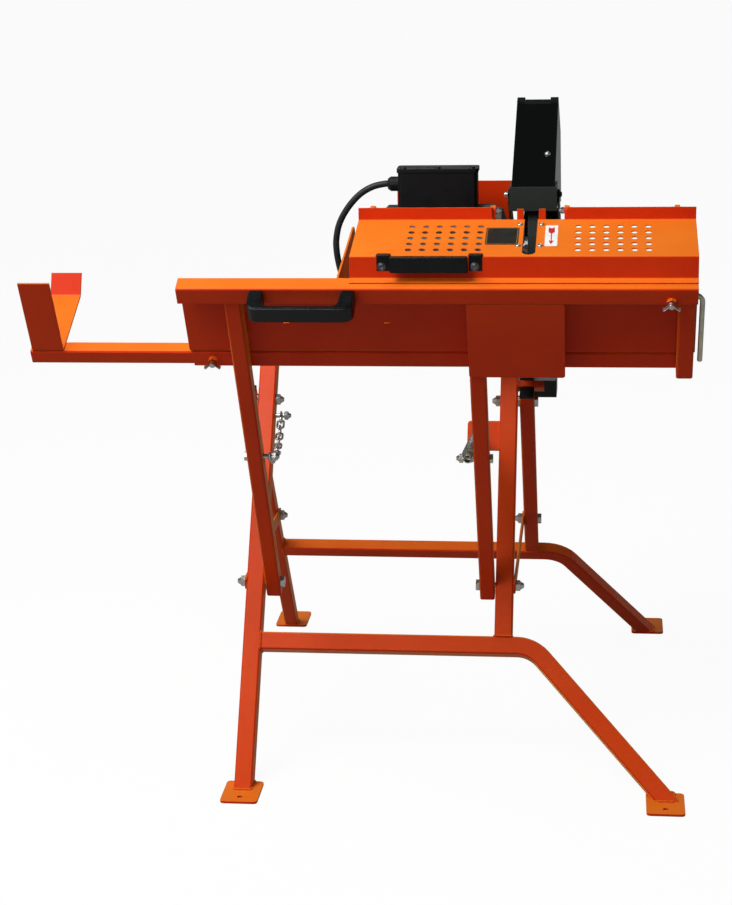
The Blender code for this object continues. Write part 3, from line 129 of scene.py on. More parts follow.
# Film plates on the cover's top: middle, as x and distance behind the bend
DARK_PLATE_AT = (221.4, 72.5)
ARROW_PLATE_AT = (295.5, 73.5)
FILM = 0.4
FILM_LIFT = 0.05


def world(x, y, z):
    """Row frame, in metres, from the drawing frame in millimetres."""
    return Vector((x, y + SHIFT_Y, z)) * MM


def trough(x, v, s):
    return world(x, PIVOT_Y - s * sin(TILT) + v * cos(TILT), PIVOT_Z + s * cos(TILT) + v * sin(TILT))


def front(x, through, up):
    return world(x, -FOOT_SPREAD + up * sin(LEAN) + through * cos(LEAN), up * cos(LEAN) - through * sin(LEAN))


def rear(x, through, up):
    return world(x, FOOT_SPREAD - up * sin(LEAN) + through * cos(LEAN), up * cos(LEAN) + through * sin(LEAN))


TROUGH_V = Vector((0, cos(TILT), sin(TILT)))
TROUGH_S = Vector((0, -sin(TILT), cos(TILT)))
COVER_SLOPE = (COVER_REAR - COVER_BEND).normalized()
COVER_UP = Vector((0, -COVER_SLOPE.z, COVER_SLOPE.y))


def slope(x, along, out=0.0):
    """Place on the cover's sloping top."""
    spot = COVER_BEND + COVER_SLOPE * along + COVER_UP * out
    return world(x, spot.y, spot.z)


# Camera, set from the photograph
YAW, PITCH, ROLL = -0.1195, radians(16.32), -0.0238
forward = Vector((sin(YAW) * cos(PITCH), cos(YAW) * cos(PITCH), -sin(PITCH)))
right = Vector((cos(YAW), -sin(YAW), 0))
up = right.cross(forward)
across = right * cos(ROLL) + up * sin(ROLL)
upward = up * cos(ROLL) - right * sin(ROLL)
lens = bpy.data.cameras.new("camera")
lens.lens = 81.6
lens.sensor_width = 36.0
lens.clip_end = 100.0
camera = bpy.data.objects.new("camera", lens)
facing = Matrix((across, upward, -forward)).transposed().to_4x4()
camera.matrix_world = Matrix.Translation((0.3749, -3.4180, 1.4937)) @ facing
bpy.context.scene.collection.objects.link(camera)
bpy.context.scene.camera = camera


# Node graphs
def linear(colour):
    channels = [int(colour[i:i + 2], 16) / 255 for i in (0, 2, 4)]
    return [c / 12.92 if c <= 0.04045 else ((c + 0.055) / 1.055) ** 2.4 for c in channels] + [1.0]


class Graph:
    """Material under construction."""

    def __init__(self, name):
        self.material = bpy.data.materials.new(name)
        self.material.use_nodes = True
        self.tree = self.material.node_tree
        self.shader = self.tree.nodes["Principled BSDF"]
        self.place = self.add("ShaderNodeTexCoord").outputs["Object"]

    def add(self, kind, **settings):
        node = self.tree.nodes.new(kind)
        for key, value in settings.items():
            setattr(node, key, value)
        return node

    def feed(self, node, **inputs):
        for key, value in inputs.items():
            name = key.replace("_", " ")
            socket = node.inputs[name] if name in node.inputs else node.inputs[int(key[1:])]
            if isinstance(value, bpy.types.NodeSocket):
                self.tree.links.new(value, socket)
            else:
                socket.default_value = value
        return node

    def noise(self, scale, detail=2.0, roughness=0.5, vector=None):
        node = self.feed(self.add("ShaderNodeTexNoise"), Vector=vector or self.place, Scale=scale, Detail=detail,
                         Roughness=roughness)
        return node.outputs["Fac"]

    def cells(self, scale, feature="F1"):
        node = self.feed(self.add("ShaderNodeTexVoronoi", feature=feature), Vector=self.place, Scale=scale)
        return node.outputs["Distance"]

    def stretched(self, x, y, z):
        node = self.feed(self.add("ShaderNodeMapping"), Vector=self.place, Scale=(x, y, z))
        return node.outputs["Vector"]

    def ramp(self, value, low, high, to_low=0.0, to_high=1.0):
        node = self.feed(self.add("ShaderNodeMapRange"), Value=value, From_Min=low, From_Max=high, To_Min=to_low,
                         To_Max=to_high)
        return node.outputs["Result"]

    def math(self, operation, a, b):
        return self.feed(self.add("ShaderNodeMath", operation=operation), _0=a, _1=b).outputs[0]

    def mix(self, share, a, b):
        node = self.add("ShaderNodeMix", data_type="RGBA")
        self.feed(node, _0=share, _6=a, _7=b)
        return node.outputs[2]

    def edge(self, radius):
        """Rounded normal, and how far it leans from the flat one."""
        node = self.feed(self.add("ShaderNodeBevel", samples=4), Radius=radius)
        plain = self.add("ShaderNodeNewGeometry").outputs["Normal"]
        dot = self.feed(self.add("ShaderNodeVectorMath", operation="DOT_PRODUCT"), _0=node.outputs[0], _1=plain)
        return node.outputs[0], self.ramp(dot.outputs["Value"], 0.98, 0.80)

    def bump(self, height, distance, strength=1.0, normal=None):
        node = self.feed(self.add("ShaderNodeBump"), Height=height, Distance=distance, Strength=strength)
        if normal:
            self.feed(node, Normal=normal)
        return node.outputs[0]

    def finish(self, **inputs):
        self.feed(self.shader, **inputs)
        return self.material


def powder_coat():
    """Orange-red satin powder coat: orange peel, a painted highlight of lighter orange along the edges, and paler
    orange painted on faces that look up as painted light from above.
    """
    g = Graph("powder_coat")
    normal, edge_share = g.edge(0.0016)
    tone = g.mix(g.ramp(g.noise(5.0, 4.0), 0.35, 0.65), linear("CC2C07"), linear("D6350B"))
    tone = g.mix(g.math("MULTIPLY", g.ramp(g.noise(90.0, 3.0), 0.58, 0.72), 0.12), tone, linear("AE2404"))
    # Painted highlight: edges turn lighter orange, in patches
    edge_highlight_patches = g.ramp(g.noise(220.0, 2.0), 0.40, 0.66, 0.05, 0.40)
    tone = g.mix(g.math("MULTIPLY", edge_share, edge_highlight_patches), tone, linear("F0662A"))
    # Painted light from above: faces whose normal points up get a paler orange, in a noise-varied share
    up = g.feed(g.add("ShaderNodeSeparateXYZ"), Vector=g.add("ShaderNodeNewGeometry").outputs["Normal"]).outputs["Z"]
    film = g.math("MULTIPLY", g.ramp(up, 0.45, 0.95), g.ramp(g.noise(9.0, 4.0), 0.3, 0.7, 0.30, 0.40))
    tone = g.mix(film, tone, linear("FFA62E"))
    smear = g.ramp(g.noise(12.0, 5.0, 0.6), 0.45, 0.75)
    peel = g.noise(420.0, 1.5)
    rough = g.math("ADD", g.ramp(g.noise(160.0, 2.0), 0.3, 0.7, 0.30, 0.38), g.math("MULTIPLY", smear, 0.12))
    return g.finish(Base_Color=tone, Roughness=rough, Normal=g.bump(peel, 0.0003, 0.35, normal),
                    Specular_IOR_Level=0.12, Sheen_Weight=0.9, Sheen_Roughness=0.4, Sheen_Tint=(1.0, 0.45, 0.03, 1.0))


def enamel(name, colour, light, rough):
    """Black enamel of the blade guards, with fine dust and hairline scratches."""
    g = Graph(name)
    normal, edge_share = g.edge(0.0014)
    dust = g.ramp(g.noise(45.0, 6.0, 0.7), 0.56, 0.80)
    tone = g.mix(g.math("MULTIPLY", dust, 0.12), linear(colour), linear(light))
    tone = g.mix(g.math("MULTIPLY", edge_share, g.ramp(g.noise(260.0), 0.45, 0.60, 0.05, 0.4)), tone, linear("3A3D3F"))
    hair = g.ramp(g.noise(30.0, 2.0, 0.5, g.stretched(1.0, 40.0, 3.0)), 0.66, 0.70)
    rough_map = g.math("ADD", g.ramp(dust, 0.0, 1.0, rough, rough + 0.12), g.math("MULTIPLY", hair, 0.06))
    return g.finish(Base_Color=tone, Roughness=rough_map, Normal=g.bump(g.noise(380.0, 1.5), 0.0003, 0.3, normal),
                    Specular_IOR_Level=0.22)


def plastic(name, colour, light, grain, rough):
    """Moulded plastic with a fine spark-eroded grain and slight rubbing on its edges."""
    g = Graph(name)
    normal, edge_share = g.edge(0.0018)
    tone = g.mix(g.ramp(g.noise(18.0, 4.0), 0.35, 0.68), linear(colour), linear(light))
    tone = g.mix(g.math("MULTIPLY", edge_share, 0.14), tone, linear("3C3E40"))
    pits = g.cells(grain)
    fine = g.noise(grain * 2.2, 2.0)
    height = g.math("ADD", g.math("MULTIPLY", pits, 0.7), g.math("MULTIPLY", fine, 0.4))
    return g.finish(Base_Color=tone, Roughness=g.ramp(g.noise(60.0, 3.0), 0.3, 0.7, rough - 0.06, rough + 0.08),
                    Normal=g.bump(height, 0.0003, 0.45, normal), Specular_IOR_Level=0.25)


def zinc(name="zinc_plate", cool="B4BAC0", warm="C2BDA9", rough=0.30):
    """Zinc plate with its uneven blue and yellow passivation, water marks and small scratches."""
    g = Graph(name)
    normal, edge_share = g.edge(0.0008)
    tone = g.mix(g.ramp(g.noise(70.0, 3.0), 0.38, 0.66), linear(cool), linear(warm))
    tone = g.mix(g.math("MULTIPLY", g.ramp(g.noise(320.0, 4.0), 0.55, 0.75), 0.35), tone, linear("77797A"))
    tone = g.mix(g.math("MULTIPLY", edge_share, 0.4), tone, linear("DADDDF"))
    scratch = g.ramp(g.noise(160.0, 2.0, 0.5, g.stretched(1.0, 9.0, 4.0)), 0.62, 0.68)
    rough_map = g.math("ADD", g.ramp(g.noise(240.0, 3.0), 0.3, 0.7, rough - 0.06, rough + 0.14),
                       g.math("MULTIPLY", scratch, 0.12))
    return g.finish(Base_Color=tone, Metallic=1.0, Roughness=rough_map,
                    Normal=g.bump(g.noise(900.0, 2.0), 0.00012, 0.5, normal))


def cast_metal():
    """Grey enamel over sand-cast aluminium."""
    g = Graph("cast_housing")
    normal, edge_share = g.edge(0.0018)
    tone = g.mix(g.ramp(g.noise(26.0, 4.0), 0.35, 0.68), linear("4E504E"), linear("66665F"))
    tone = g.mix(g.math("MULTIPLY", edge_share, g.ramp(g.noise(180.0), 0.40, 0.62, 0.1, 0.7)), tone, linear("96958E"))
    pits = g.math("ADD", g.noise(620.0, 3.0), g.math("MULTIPLY", g.cells(480.0), 0.5))
    return g.finish(Base_Color=tone, Metallic=0.35, Roughness=g.ramp(g.noise(120.0, 3.0), 0.3, 0.7, 0.42, 0.62),
                    Normal=g.bump(pits, 0.0005, 0.5, normal))


def blade_steel():
    """Ground steel: fine rings round the blade axis and a resin film towards the rim."""
    g = Graph("ground_steel")
    parts = g.feed(g.add("ShaderNodeSeparateXYZ"), Vector=g.place)
    y = g.math("SUBTRACT", parts.outputs["Y"], (AXIS_Y + SHIFT_Y) * MM)
    z = g.math("SUBTRACT", parts.outputs["Z"], AXIS_Z * MM)
    radius = g.math("SQRT", g.math("ADD", g.math("MULTIPLY", y, y), g.math("MULTIPLY", z, z)), 0.0)
    rings = g.feed(g.add("ShaderNodeCombineXYZ"), X=g.math("MULTIPLY", radius, 1500.0), Y=g.math("MULTIPLY", y, 3.0),
                   Z=g.math("MULTIPLY", z, 3.0)).outputs["Vector"]
    grind = g.noise(1.0, 3.0, 0.6, rings)
    tone = g.mix(g.ramp(grind, 0.3, 0.7), linear("94989B"), linear("BDC0C2"))
    tone = g.mix(g.math("MULTIPLY", g.ramp(radius, 0.14, 0.20), g.ramp(g.noise(35.0, 4.0), 0.4, 0.7, 0.1, 0.5)), tone,
                 linear("8A7A60"))
    return g.finish(Base_Color=tone, Metallic=1.0, Roughness=g.ramp(grind, 0.25, 0.75, 0.24, 0.42),
                    Normal=g.bump(grind, 0.00008, 0.6))


def carbide():
    g = Graph("carbide_tip")
    tone = g.mix(g.ramp(g.noise(300.0, 3.0), 0.35, 0.65), linear("5A5A56"), linear("77756C"))
    return g.finish(Base_Color=tone, Metallic=0.9, Roughness=g.ramp(g.noise(700.0), 0.3, 0.7, 0.30, 0.46),
                    Normal=g.bump(g.noise(1400.0), 0.00005, 0.5))


def rubber():
    """Cable jacket: matt rubber with faint extrusion lines."""
    g = Graph("rubber_jacket")
    tone = g.mix(g.ramp(g.noise(80.0, 3.0), 0.35, 0.68), linear("101112"), linear("1D1F20"))
    return g.finish(Base_Color=tone, Roughness=g.ramp(g.noise(200.0, 2.0), 0.3, 0.7, 0.48, 0.62),
                    Normal=g.bump(g.noise(900.0, 2.0), 0.0002, 0.4), Specular_IOR_Level=0.35)


def label_film(name, colour, light):
    """Printed film plate: satin, with slight orange peel from its adhesive."""
    g = Graph(name)
    tone = g.mix(g.ramp(g.noise(60.0, 3.0), 0.35, 0.65), linear(colour), linear(light))
    return g.finish(Base_Color=tone, Roughness=g.ramp(g.noise(140.0, 2.0), 0.3, 0.7, 0.30, 0.42),
                    Normal=g.bump(g.noise(260.0, 1.5), 0.0001, 0.5))


PAINT = powder_coat()
ENAMEL = enamel("black_gloss_enamel", "030404", "121415", 0.20)
SHADOW = enamel("black_satin_enamel", "2A302D", "3A403F", 0.40)
BLACK = plastic("moulded_black", "08090A", "101213", 1500.0, 0.42)
SATIN = plastic("moulded_handle", "040506", "0A0C0D", 1900.0, 0.26)
DARK = plastic("moulded_grey", "26282A", "34373A", 1300.0, 0.50)
GREEN = plastic("button_green", "1A6E33", "23863F", 1800.0, 0.40)
CRIMSON = plastic("button_red", "A3141C", "BC1E26", 1800.0, 0.40)
ZINC = zinc()
ROD = zinc("zinc_rod", "A8AC9E", "C0BDA6", 0.34)
SPRING = zinc("spring_wire", "8E9092", "A29C8E", 0.34)
CAST = cast_metal()
STEEL = blade_steel()
CARBIDE = carbide()
RUBBER = rubber()

FINISH = {"red_powder_coat": PAINT, "black_enamel": ENAMEL, "black_plastic": BLACK, "dark_grey_plastic": DARK,
          "cast_aluminium": CAST, "zinc_plate": ZINC, "blade_steel": STEEL, "spring_steel": SPRING,
          "green_button": GREEN, "red_button": CRIMSON}
OWN = {"length_stop_rod": ROD, "spring_rod": ROD, "guard_nose": SHADOW}
for name, obj in frame["nodes"].items():
    for place in obj.material_slots:
        base = place.material.name.split(".")[0]
        place.material = OWN.get(name, FINISH.get(base, PAINT))


# Mesh helpers
def piece(name, bm, material, body, smooth=True):
    bmesh.ops.recalc_face_normals(bm, faces=bm.faces)
    mesh = bpy.data.meshes.new(name)
    bm.to_mesh(mesh)
    bm.free()
    mesh.materials.append(material)
    if smooth:
        mesh.shade_smooth()
        mesh.set_sharp_from_angle(angle=radians(38))
    obj = bpy.data.objects.new(name, mesh)
    bpy.context.scene.collection.objects.link(obj)
    if body:
        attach(obj, body)
    return obj


def sweep(bm, path, radius, sides=12, closed=False):
    """Round tube along a path; radius is a size or a function of the point's number."""
    path = [Vector(p) for p in path]
    count = len(path)
    loops = []
    side = None
    for i, point in enumerate(path):
        if closed:
            way = (path[(i + 1) % count] - path[i - 1]).normalized()
        else:
            way = (path[min(i + 1, count - 1)] - path[max(i - 1, 0)]).normalized()
        if side is None:
            side = way.orthogonal().normalized()
        side = (side - way * side.dot(way)).normalized()
        other = way.cross(side)
        size = radius(i) if callable(radius) else radius
        loops.append([bm.verts.new(point + (side * cos(2 * pi * k / sides) + other * sin(2 * pi * k / sides)) * size)
                      for k in range(sides)])
    pairs = list(zip(loops, loops[1:]))
    if closed:
        pairs.append((loops[-1], loops[0]))
    for lower, upper in pairs:
        for k in range(sides):
            n = (k + 1) % sides
            bm.faces.new((lower[k], lower[n], upper[n], upper[k]))
    if not closed:
        bm.faces.new(loops[0])
        bm.faces.new(loops[-1])
    return bm


def lathe(bm, rings, at, axis, sides=24):
    """Turned solid: rings are (distance along axis, radius) in millimetres; a negative radius is a hexagon's flat."""
    axis = Vector(axis).normalized()
    side = axis.orthogonal().normalized()
    other = axis.cross(side)
    loops = []
    for along, radius in rings:
        loop = []
        for k in range(sides):
            angle = 2 * pi * k / sides
            size = radius
            if radius < 0:
                size = -radius / cos((angle + pi / 6) % (pi / 3) - pi / 6)
            spoke = side * cos(angle) + other * sin(angle)
            loop.append(bm.verts.new(Vector(at) + (axis * along + spoke * size) * MM))
        loops.append(loop)
    for lower, upper in zip(loops, loops[1:]):
        for k in range(sides):
            n = (k + 1) % sides
            bm.faces.new((lower[k], lower[n], upper[n], upper[k]))
    bm.faces.new(loops[0])
    bm.faces.new(loops[-1])
    return bm


def slab(bm, outline, origin, first, second, depth):
    """Outline in the plane of two unit vectors, drawn out by depth along their normal, all in millimetres."""
    first, second = Vector(first), Vector(second)
    normal = first.cross(second).normalized()
    low = [bm.verts.new(Vector(origin) + (first * a + second * b) * MM) for a, b in outline]
    high = [bm.verts.new(v.co + normal * (depth * MM)) for v in low]
    bm.faces.new(low)
    bm.faces.new(high)
    for i in range(len(low)):
        n = (i + 1) % len(low)
        bm.faces.new((low[i], low[n], high[n], high[i]))
    return bm


def rounded_box(width, height, radius, steps=4):
    points = []
    right, top = width / 2 - radius, height / 2 - radius
    for cx, cy, start in ((right, top, 0), (-right, top, pi / 2), (-right, -top, pi), (right, -top, 3 * pi / 2)):
        for k in range(steps + 1):
            angle = start + pi / 2 * k / steps
            points.append((cx + radius * cos(angle), cy + radius * sin(angle)))
    return points


def smooth_curve(points, steps):
    """Catmull-Rom curve through the points."""
    points = [Vector(p) for p in points]
    result = []
    for i in range(len(points) - 1):
        p1, p2 = points[i], points[i + 1]
        p0 = points[i - 1] if i else p1 * 2 - p2
        p3 = points[i + 2] if i + 2 < len(points) else p2 * 2 - p1
        for k in range(steps):
            t = k / steps
            result.append(0.5 * ((2 * p1) + (p2 - p0) * t + (2 * p0 - 5 * p1 + 4 * p2 - p3) * t ** 2
                                 + (3 * p1 - p0 - 3 * p2 + p3) * t ** 3))
    return result + [points[-1]]


def bead(bm, start, end, size=2.2, phase=0.0):
    """Weld bead between two places: a low rippled tube, sunk into the corner it fills."""
    start, end = Vector(start), Vector(end)
    length = (end - start).length / MM
    count = max(6, int(length / 1.1))
    path = [start.lerp(end, k / count) for k in range(count + 1)]

    def swell(i):
        ends = min(1.0, 0.45 + 0.25 * min(i, count - i))
        return size * MM * ends * (1 + 0.13 * sin(i * 2.1 + phase) + 0.06 * sin(i * 0.67 + 2 * phase))

    return sweep(bm, path, swell, 8)


# Stop chain, hanging from the leg to the swing arm
chain_top = front(CHAIN_TOP_X, 0, CHAIN_BOLT_L)
chain_low = trough(CHAIN_LOW_X, 0, ARM_BOLT_S)
first, last = chain_top / MM, chain_low / MM
chord = last - first
drop = Vector((0, 0, 4 * CHAIN_SAG))
chain_length = chord.length + 8 * CHAIN_SAG ** 2 / (3 * chord.length)
past_bolt = ARM_BOLT / 2 + 0.9
pins = [first - (chord - drop).normalized() * past_bolt]
for k in range(1, CHAIN_LINKS):
    t = (k * (chain_length + 2 * past_bolt) / CHAIN_LINKS - past_bolt) / chain_length
    pins.append(first + chord * t - drop * (t * (1 - t)))
pins.append(last + (chord + drop).normalized() * past_bolt)
chain = bmesh.new()
for k in range(CHAIN_LINKS):
    step = pins[k + 1] - pins[k]
    along = step.normalized()
    flat = Vector((1, 0, 0))
    flat = (flat - along * flat.dot(along)).normalized()
    sideways = flat if k % 2 else along.cross(flat).normalized()
    half_width = CHAIN_WIDTH / 2 + 1.0
    straight = (step.length + CHAIN_WIRE * cos(pi / 6) - CHAIN_OVERLAP) / 2 - half_width
    middle = (pins[k] + pins[k + 1]) / 2
    path = []
    for turn, way in ((-pi / 2, 1), (pi / 2, -1)):
        for n in range(10):
            angle = turn + pi * n / 9
            bend = along * (way * straight + half_width * cos(angle)) + sideways * (half_width * sin(angle))
            path.append((middle + bend) * MM)
    sweep(chain, path, CHAIN_WIRE / 2 * MM, 10, closed=True)
chain = piece("stop_chain_links", chain, ZINC, None)
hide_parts("stop_chain")
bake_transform(chain)

# Return spring, flattened along its strut as the trough swings to the blade
arm_y, arm_z = PIVOT_Y - ARM_BOLT_S * sin(TILT), PIVOT_Z + ARM_BOLT_S * cos(TILT)
plate_y, plate_z = -FOOT_SPREAD + SPRING_PLATE_L * sin(LEAN), SPRING_PLATE_L * cos(LEAN)
strut_length = hypot(plate_y - arm_y, plate_z - arm_z)
strut_way = Vector((0, plate_y - arm_y, plate_z - arm_z)) / strut_length
strut_up = Vector((0, -strut_way.z, strut_way.y))
arm_at = world(STRUT_X, arm_y, arm_z)
spring_start = STRUT_SEAT + FIT + SPRING_WIRE / 2
before_plate = 13.5
spring_stop = strut_length - before_plate
turns = []
per_curl = 24
for k in range(SPRING_CURLS * per_curl + 1):
    angle = 2 * pi * k / per_curl
    share = k / (SPRING_CURLS * per_curl)
    along = spring_start + (spring_stop - spring_start) * share
    round_way = Vector((SPRING_R * cos(angle), 0, 0)) + strut_up * (SPRING_R * sin(angle))
    turns.append(arm_at + (strut_way * along + round_way) * MM)
spring = piece("return_spring_coil", sweep(bmesh.new(), turns, SPRING_WIRE / 2 * MM, 10), SPRING, "spring_strut")
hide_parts("return_spring")
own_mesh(spring)

# Motor cable, from the terminal box over to the switch
switch_face = -FRONT_TUBE / 2 - FIT - SWITCH_DEEP
route = [world(*p) for p in CABLE_ROUTE]
route += [front(SWITCH_MID, switch_face - out, SWITCH_GLAND_L) for out in (34, 20, 4)]
cable_path = smooth_curve(route, 6)
jacket = sweep(bmesh.new(), cable_path, CABLE_R * MM, 18)
cable = piece("motor_cable_jacket", jacket, RUBBER, "stand")
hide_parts("motor_cable")

# Cover: screws of the slot's liners, bare plate, plate with a plain arrow, bolts in the handle
screws = bmesh.new()
dome = [(-0.2, 4.3), (0.5, 4.3), (1.5, 3.9), (2.2, 3.0), (2.5, 1.9), (1.6, 1.7)]
for side in (-16.6, 16.6):
    for along in (37.5, 115.0):
        lathe(screws, dome, slope(BLADE_X + side, along), COVER_UP)
piece("liner_screws", screws, ZINC, "cover")

plate = slab(bmesh.new(), rounded_box(49.7, 61.0, 2.5), slope(*DARK_PLATE_AT, FILM_LIFT), (1, 0, 0), COVER_SLOPE, FILM)
piece("bare_plate", plate, label_film("bare_dark_plate", "1A1A19", "26251F"), "cover")
rim = bmesh.new()
outer, inner = rounded_box(46.5, 57.8, 2.0), rounded_box(45.0, 56.3, 1.6)
base = slope(*DARK_PLATE_AT, FILM_LIFT + FILM)
for i in range(len(outer)):
    n = (i + 1) % len(outer)
    quad = [outer[i], outer[n], inner[n], inner[i]]
    slab(rim, quad, base, (1, 0, 0), COVER_SLOPE, 0.08)
bmesh.ops.remove_doubles(rim, verts=rim.verts, dist=1e-7)
border_film = label_film("plate_border", "8A7A3C", "9C8A48")
piece("bare_plate_border", rim, border_film, "cover", smooth=False)

pale = slab(bmesh.new(), rounded_box(19.0, 75.0, 2.5), slope(*ARROW_PLATE_AT, FILM_LIFT), (1, 0, 0), COVER_SLOPE, FILM)
piece("arrow_plate", pale, label_film("white_film", "DEDEDB", "EAEAE8"), "cover")
arrow = [(-0.8, -18), (-4.2, -18), (0, -31), (4.2, -18), (0.8, -18), (0.8, 8), (4.6, 12), (4.6, 30), (0, 25.5),
         (-4.6, 30), (-4.6, 12), (-0.8, 8)]
mark = slab(bmesh.new(), arrow, slope(*ARROW_PLATE_AT, FILM_LIFT + FILM), (1, 0, 0), COVER_SLOPE, 0.1)
piece("arrow_mark", mark, label_film("arrow_red", "B8161E", "C8242A"), "cover", smooth=False)

handle_bolts = bmesh.new()
ringed = [(-1.0, 6.2), (0.5, 6.2), (0.9, 5.6), (0.9, 5.0), (-0.6, 4.8), (-0.6, 4.2), (1.2, 4.0), (1.7, 3.4), (1.7, -1.9),
          (-0.4, -1.8)]
for x in (47.2, 185.6):
    lathe(handle_bolts, ringed, world(x, COVER_BEND.y - FIT - 28.0, 903.6), (0, -1, 0))
piece("cover_handle_bolts", handle_bolts, zinc("dark_bolt", "55585A", "6A6A66", 0.34), "cover")


# Handles: a sharp-edged bar with square end blocks on the cover, a smooth bow on the trough
def bar_handle(name, x0, x1, origin, out, up_way, reach, height, block_width, body):
    """Bar handle whose ends are square blocks, with a fine groove where the bar meets them."""
    bm = bmesh.new()
    thick = 11.0
    low = -height / 2
    for start in (x0, x1 - block_width):
        slab(bm, [(0, low), (block_width, low), (block_width, -low), (0, -low)], origin + Vector((start, 0, 0)) * MM,
             (1, 0, 0), up_way, -reach)
    bar = x1 - x0 - 2 * block_width
    middle = [(0, low + 0.6), (bar, low + 0.6), (bar, -low - 0.6), (0, -low - 0.6)]
    inner_face = origin + Vector((x0 + block_width, 0, 0)) * MM + out * ((reach - thick - 0.5) * MM)
    slab(bm, middle, inner_face, (1, 0, 0), up_way, -thick)
    bmesh.ops.recalc_face_normals(bm, faces=bm.faces)
    bmesh.ops.bevel(bm, geom=list(bm.edges), offset=0.9 * MM, segments=2, affect="EDGES", clamp_overlap=True)
    return piece(name, bm, SATIN, body)


def bow_handle(name, x0, x1, body):
    """Moulded bow of one section, round at its corners, standing off the trough's front flange."""
    top, reach, tall, foot, grip = FLANGE_S, 45.6, 27.4, 21.0, 8.0
    seat = -LOG_V - 0.5
    corners = [(x0, seat, 0), (x0, seat - reach, 17), (x1, seat - reach, 17), (x1, seat, 0), (x1 - foot, seat, 0),
               (x1 - foot - 3, seat - reach + grip, 11), (x0 + foot + 3, seat - reach + grip, 11), (x0 + foot, seat, 0)]
    outline = []
    for i, (x, v, radius) in enumerate(corners):
        here = Vector((x, v))
        if not radius:
            outline.append(here)
            continue
        before = (Vector(corners[i - 1][:2]) - here).normalized()
        after = (Vector(corners[(i + 1) % len(corners)][:2]) - here).normalized()
        for k in range(7):
            t = k / 6
            outline.append(here + before * (radius * (1 - t) ** 2) + after * (radius * t ** 2))
    bm = bmesh.new()
    slab(bm, [tuple(p) for p in outline], trough(0, 0, top - tall - 0.3), (1, 0, 0), TROUGH_V, tall)
    bmesh.ops.recalc_face_normals(bm, faces=bm.faces)
    rims = [e for e in bm.edges if e.calc_face_angle(0) > radians(60)]
    bmesh.ops.bevel(bm, geom=rims, offset=1.8 * MM, segments=3, affect="EDGES", clamp_overlap=True)
    return piece(name, bm, SATIN, body)


pull_bow = bow_handle("pull_bow", -154.0, 6.0, "trough")
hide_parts("pull_handle")
cover_bar = bar_handle("cover_bar_handle", 36.0, 196.0, world(0, COVER_BEND.y - FIT, 903.6), Vector((0, -1, 0)),
                       (0, 0, 1), 27.9, 25.4, 22.0, "cover")
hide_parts("cover_handle")

# Slot liners: strips that hang under the cover beside its slot
liners = bmesh.new()
for side in (-1, 1):
    start = BLADE_X + (10.4 if side > 0 else -12.4)
    slab(liners, [(6, 0), (128, 0), (128, 20), (6, 20)], slope(start, 0, -21.8), COVER_SLOPE, COVER_UP, 2.0)
piece("slot_liners", liners, BLACK, "cover", smooth=False)


def wing(name, x, s, tip, seat, body):
    """Stamped wing screw: a bent strip with curled ends over a small round hub."""
    bm = bmesh.new()
    long = tip - seat
    hub = [(0, 3.0), (long + 1, 3.0), (long + 1, 5.0), (long + 8, 4.4), (long + 9, 3.2)]
    lathe(bm, hub, trough(x, tip, s), -TROUGH_V, 20)
    line = [(-12.9, -4.6), (-11.6, -6.6), (-10.4, -6.0), (0, 3.2), (10.4, -6.0), (11.6, -6.6), (12.9, -4.6)]
    strip = line + [(a, b + 1.9) for a, b in reversed(line)]
    slab(bm, strip, trough(x, seat - 2.2, s), (1, 0, 0), TROUGH_S, 7.0)
    return piece(name, bm, ZINC, body, smooth=False)


left_wing = wing("extension_screw_wing", CLAMP_X, STRINGER_S, WALL_V + 2.2, WALL_V - 8.3, "extension_screw")
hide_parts("extension_wing_screw")
right_wing = wing("stop_screw_wing", STOP_X, ROD_S, -4.3, -LOG_V - 7.3, "stop_screw")
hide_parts("stop_wing_screw")

# Guard arms, each with its screw: a plated one on the left, a black one on the right
pin = Vector((-205.0, 121.0))
pin_way = pin.normalized()
aside = Vector((-pin_way.y, pin_way.x))
screw_at = pin + Vector((0, 2.2))
opening = pi - atan2(pin.y, -pin.x) + radians(28)
thick = 3.5
for name, way, hub, bore, head, tall, coat in (("left", -1, 36.0, 26.4, 3.7, 6.4, ZINC),
                                               ("right", 1, 18.0, 6.3, 4.4, 4.2, BLACK)):
    angles = [opening + k * radians(304) / 24 for k in range(25)]
    rim = [(hub * cos(angle), hub * sin(angle)) for angle in angles]
    rim += [tuple(pin - aside * 11), tuple(pin + aside * 11)]
    angles = [opening - 2 * pi * k / 32 for k in range(33)]
    hole = [(bore * cos(angle), bore * sin(angle)) for angle in angles]
    near = way * (HOOD_WIDTH / 2 + 3.3)
    low_face = world(BLADE_X + min(near, near + way * thick), AXIS_Y, AXIS_Z)
    link = slab(bmesh.new(), rim + [rim[0]] + hole, low_face, (0, 1, 0), (0, 0, 1), thick)
    arm = piece("guard_link_" + name, link, ENAMEL, "guard", smooth=False)
    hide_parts("guard_arm_" + name)
    arm_face = world(BLADE_X + near + way * 3.3, AXIS_Y + screw_at.x, AXIS_Z + screw_at.y)
    rings = [(0, head + 1.4), (0.9, head + 1.4), (1.0, head), (tall - 1.6, head), (tall - 0.5, head * 0.8),
             (tall, head * 0.4)]
    piece("guard_screw_" + name, lathe(bmesh.new(), rings, arm_face, (way, 0, 0)), coat, "guard")

# Blade: carbide tips
tips = bmesh.new()
for tooth in range(TEETH):
    a = 2 * pi * tooth / TEETH
    outward = Vector((0, cos(a), sin(a)))
    ahead = Vector((0, -sin(a), cos(a)))
    root = world(BLADE_X, AXIS_Y, AXIS_Z) + outward * ((BLADE_R - 6.0) * MM)
    slab(tips, [(-1.8, 0), (1.8, 0), (1.6, 6.4), (-1.6, 6.4)], root + ahead * (-0.2 * MM), (1, 0, 0), outward, 2.6)
piece("carbide_tips", tips, CARBIDE, "rotor", smooth=False)

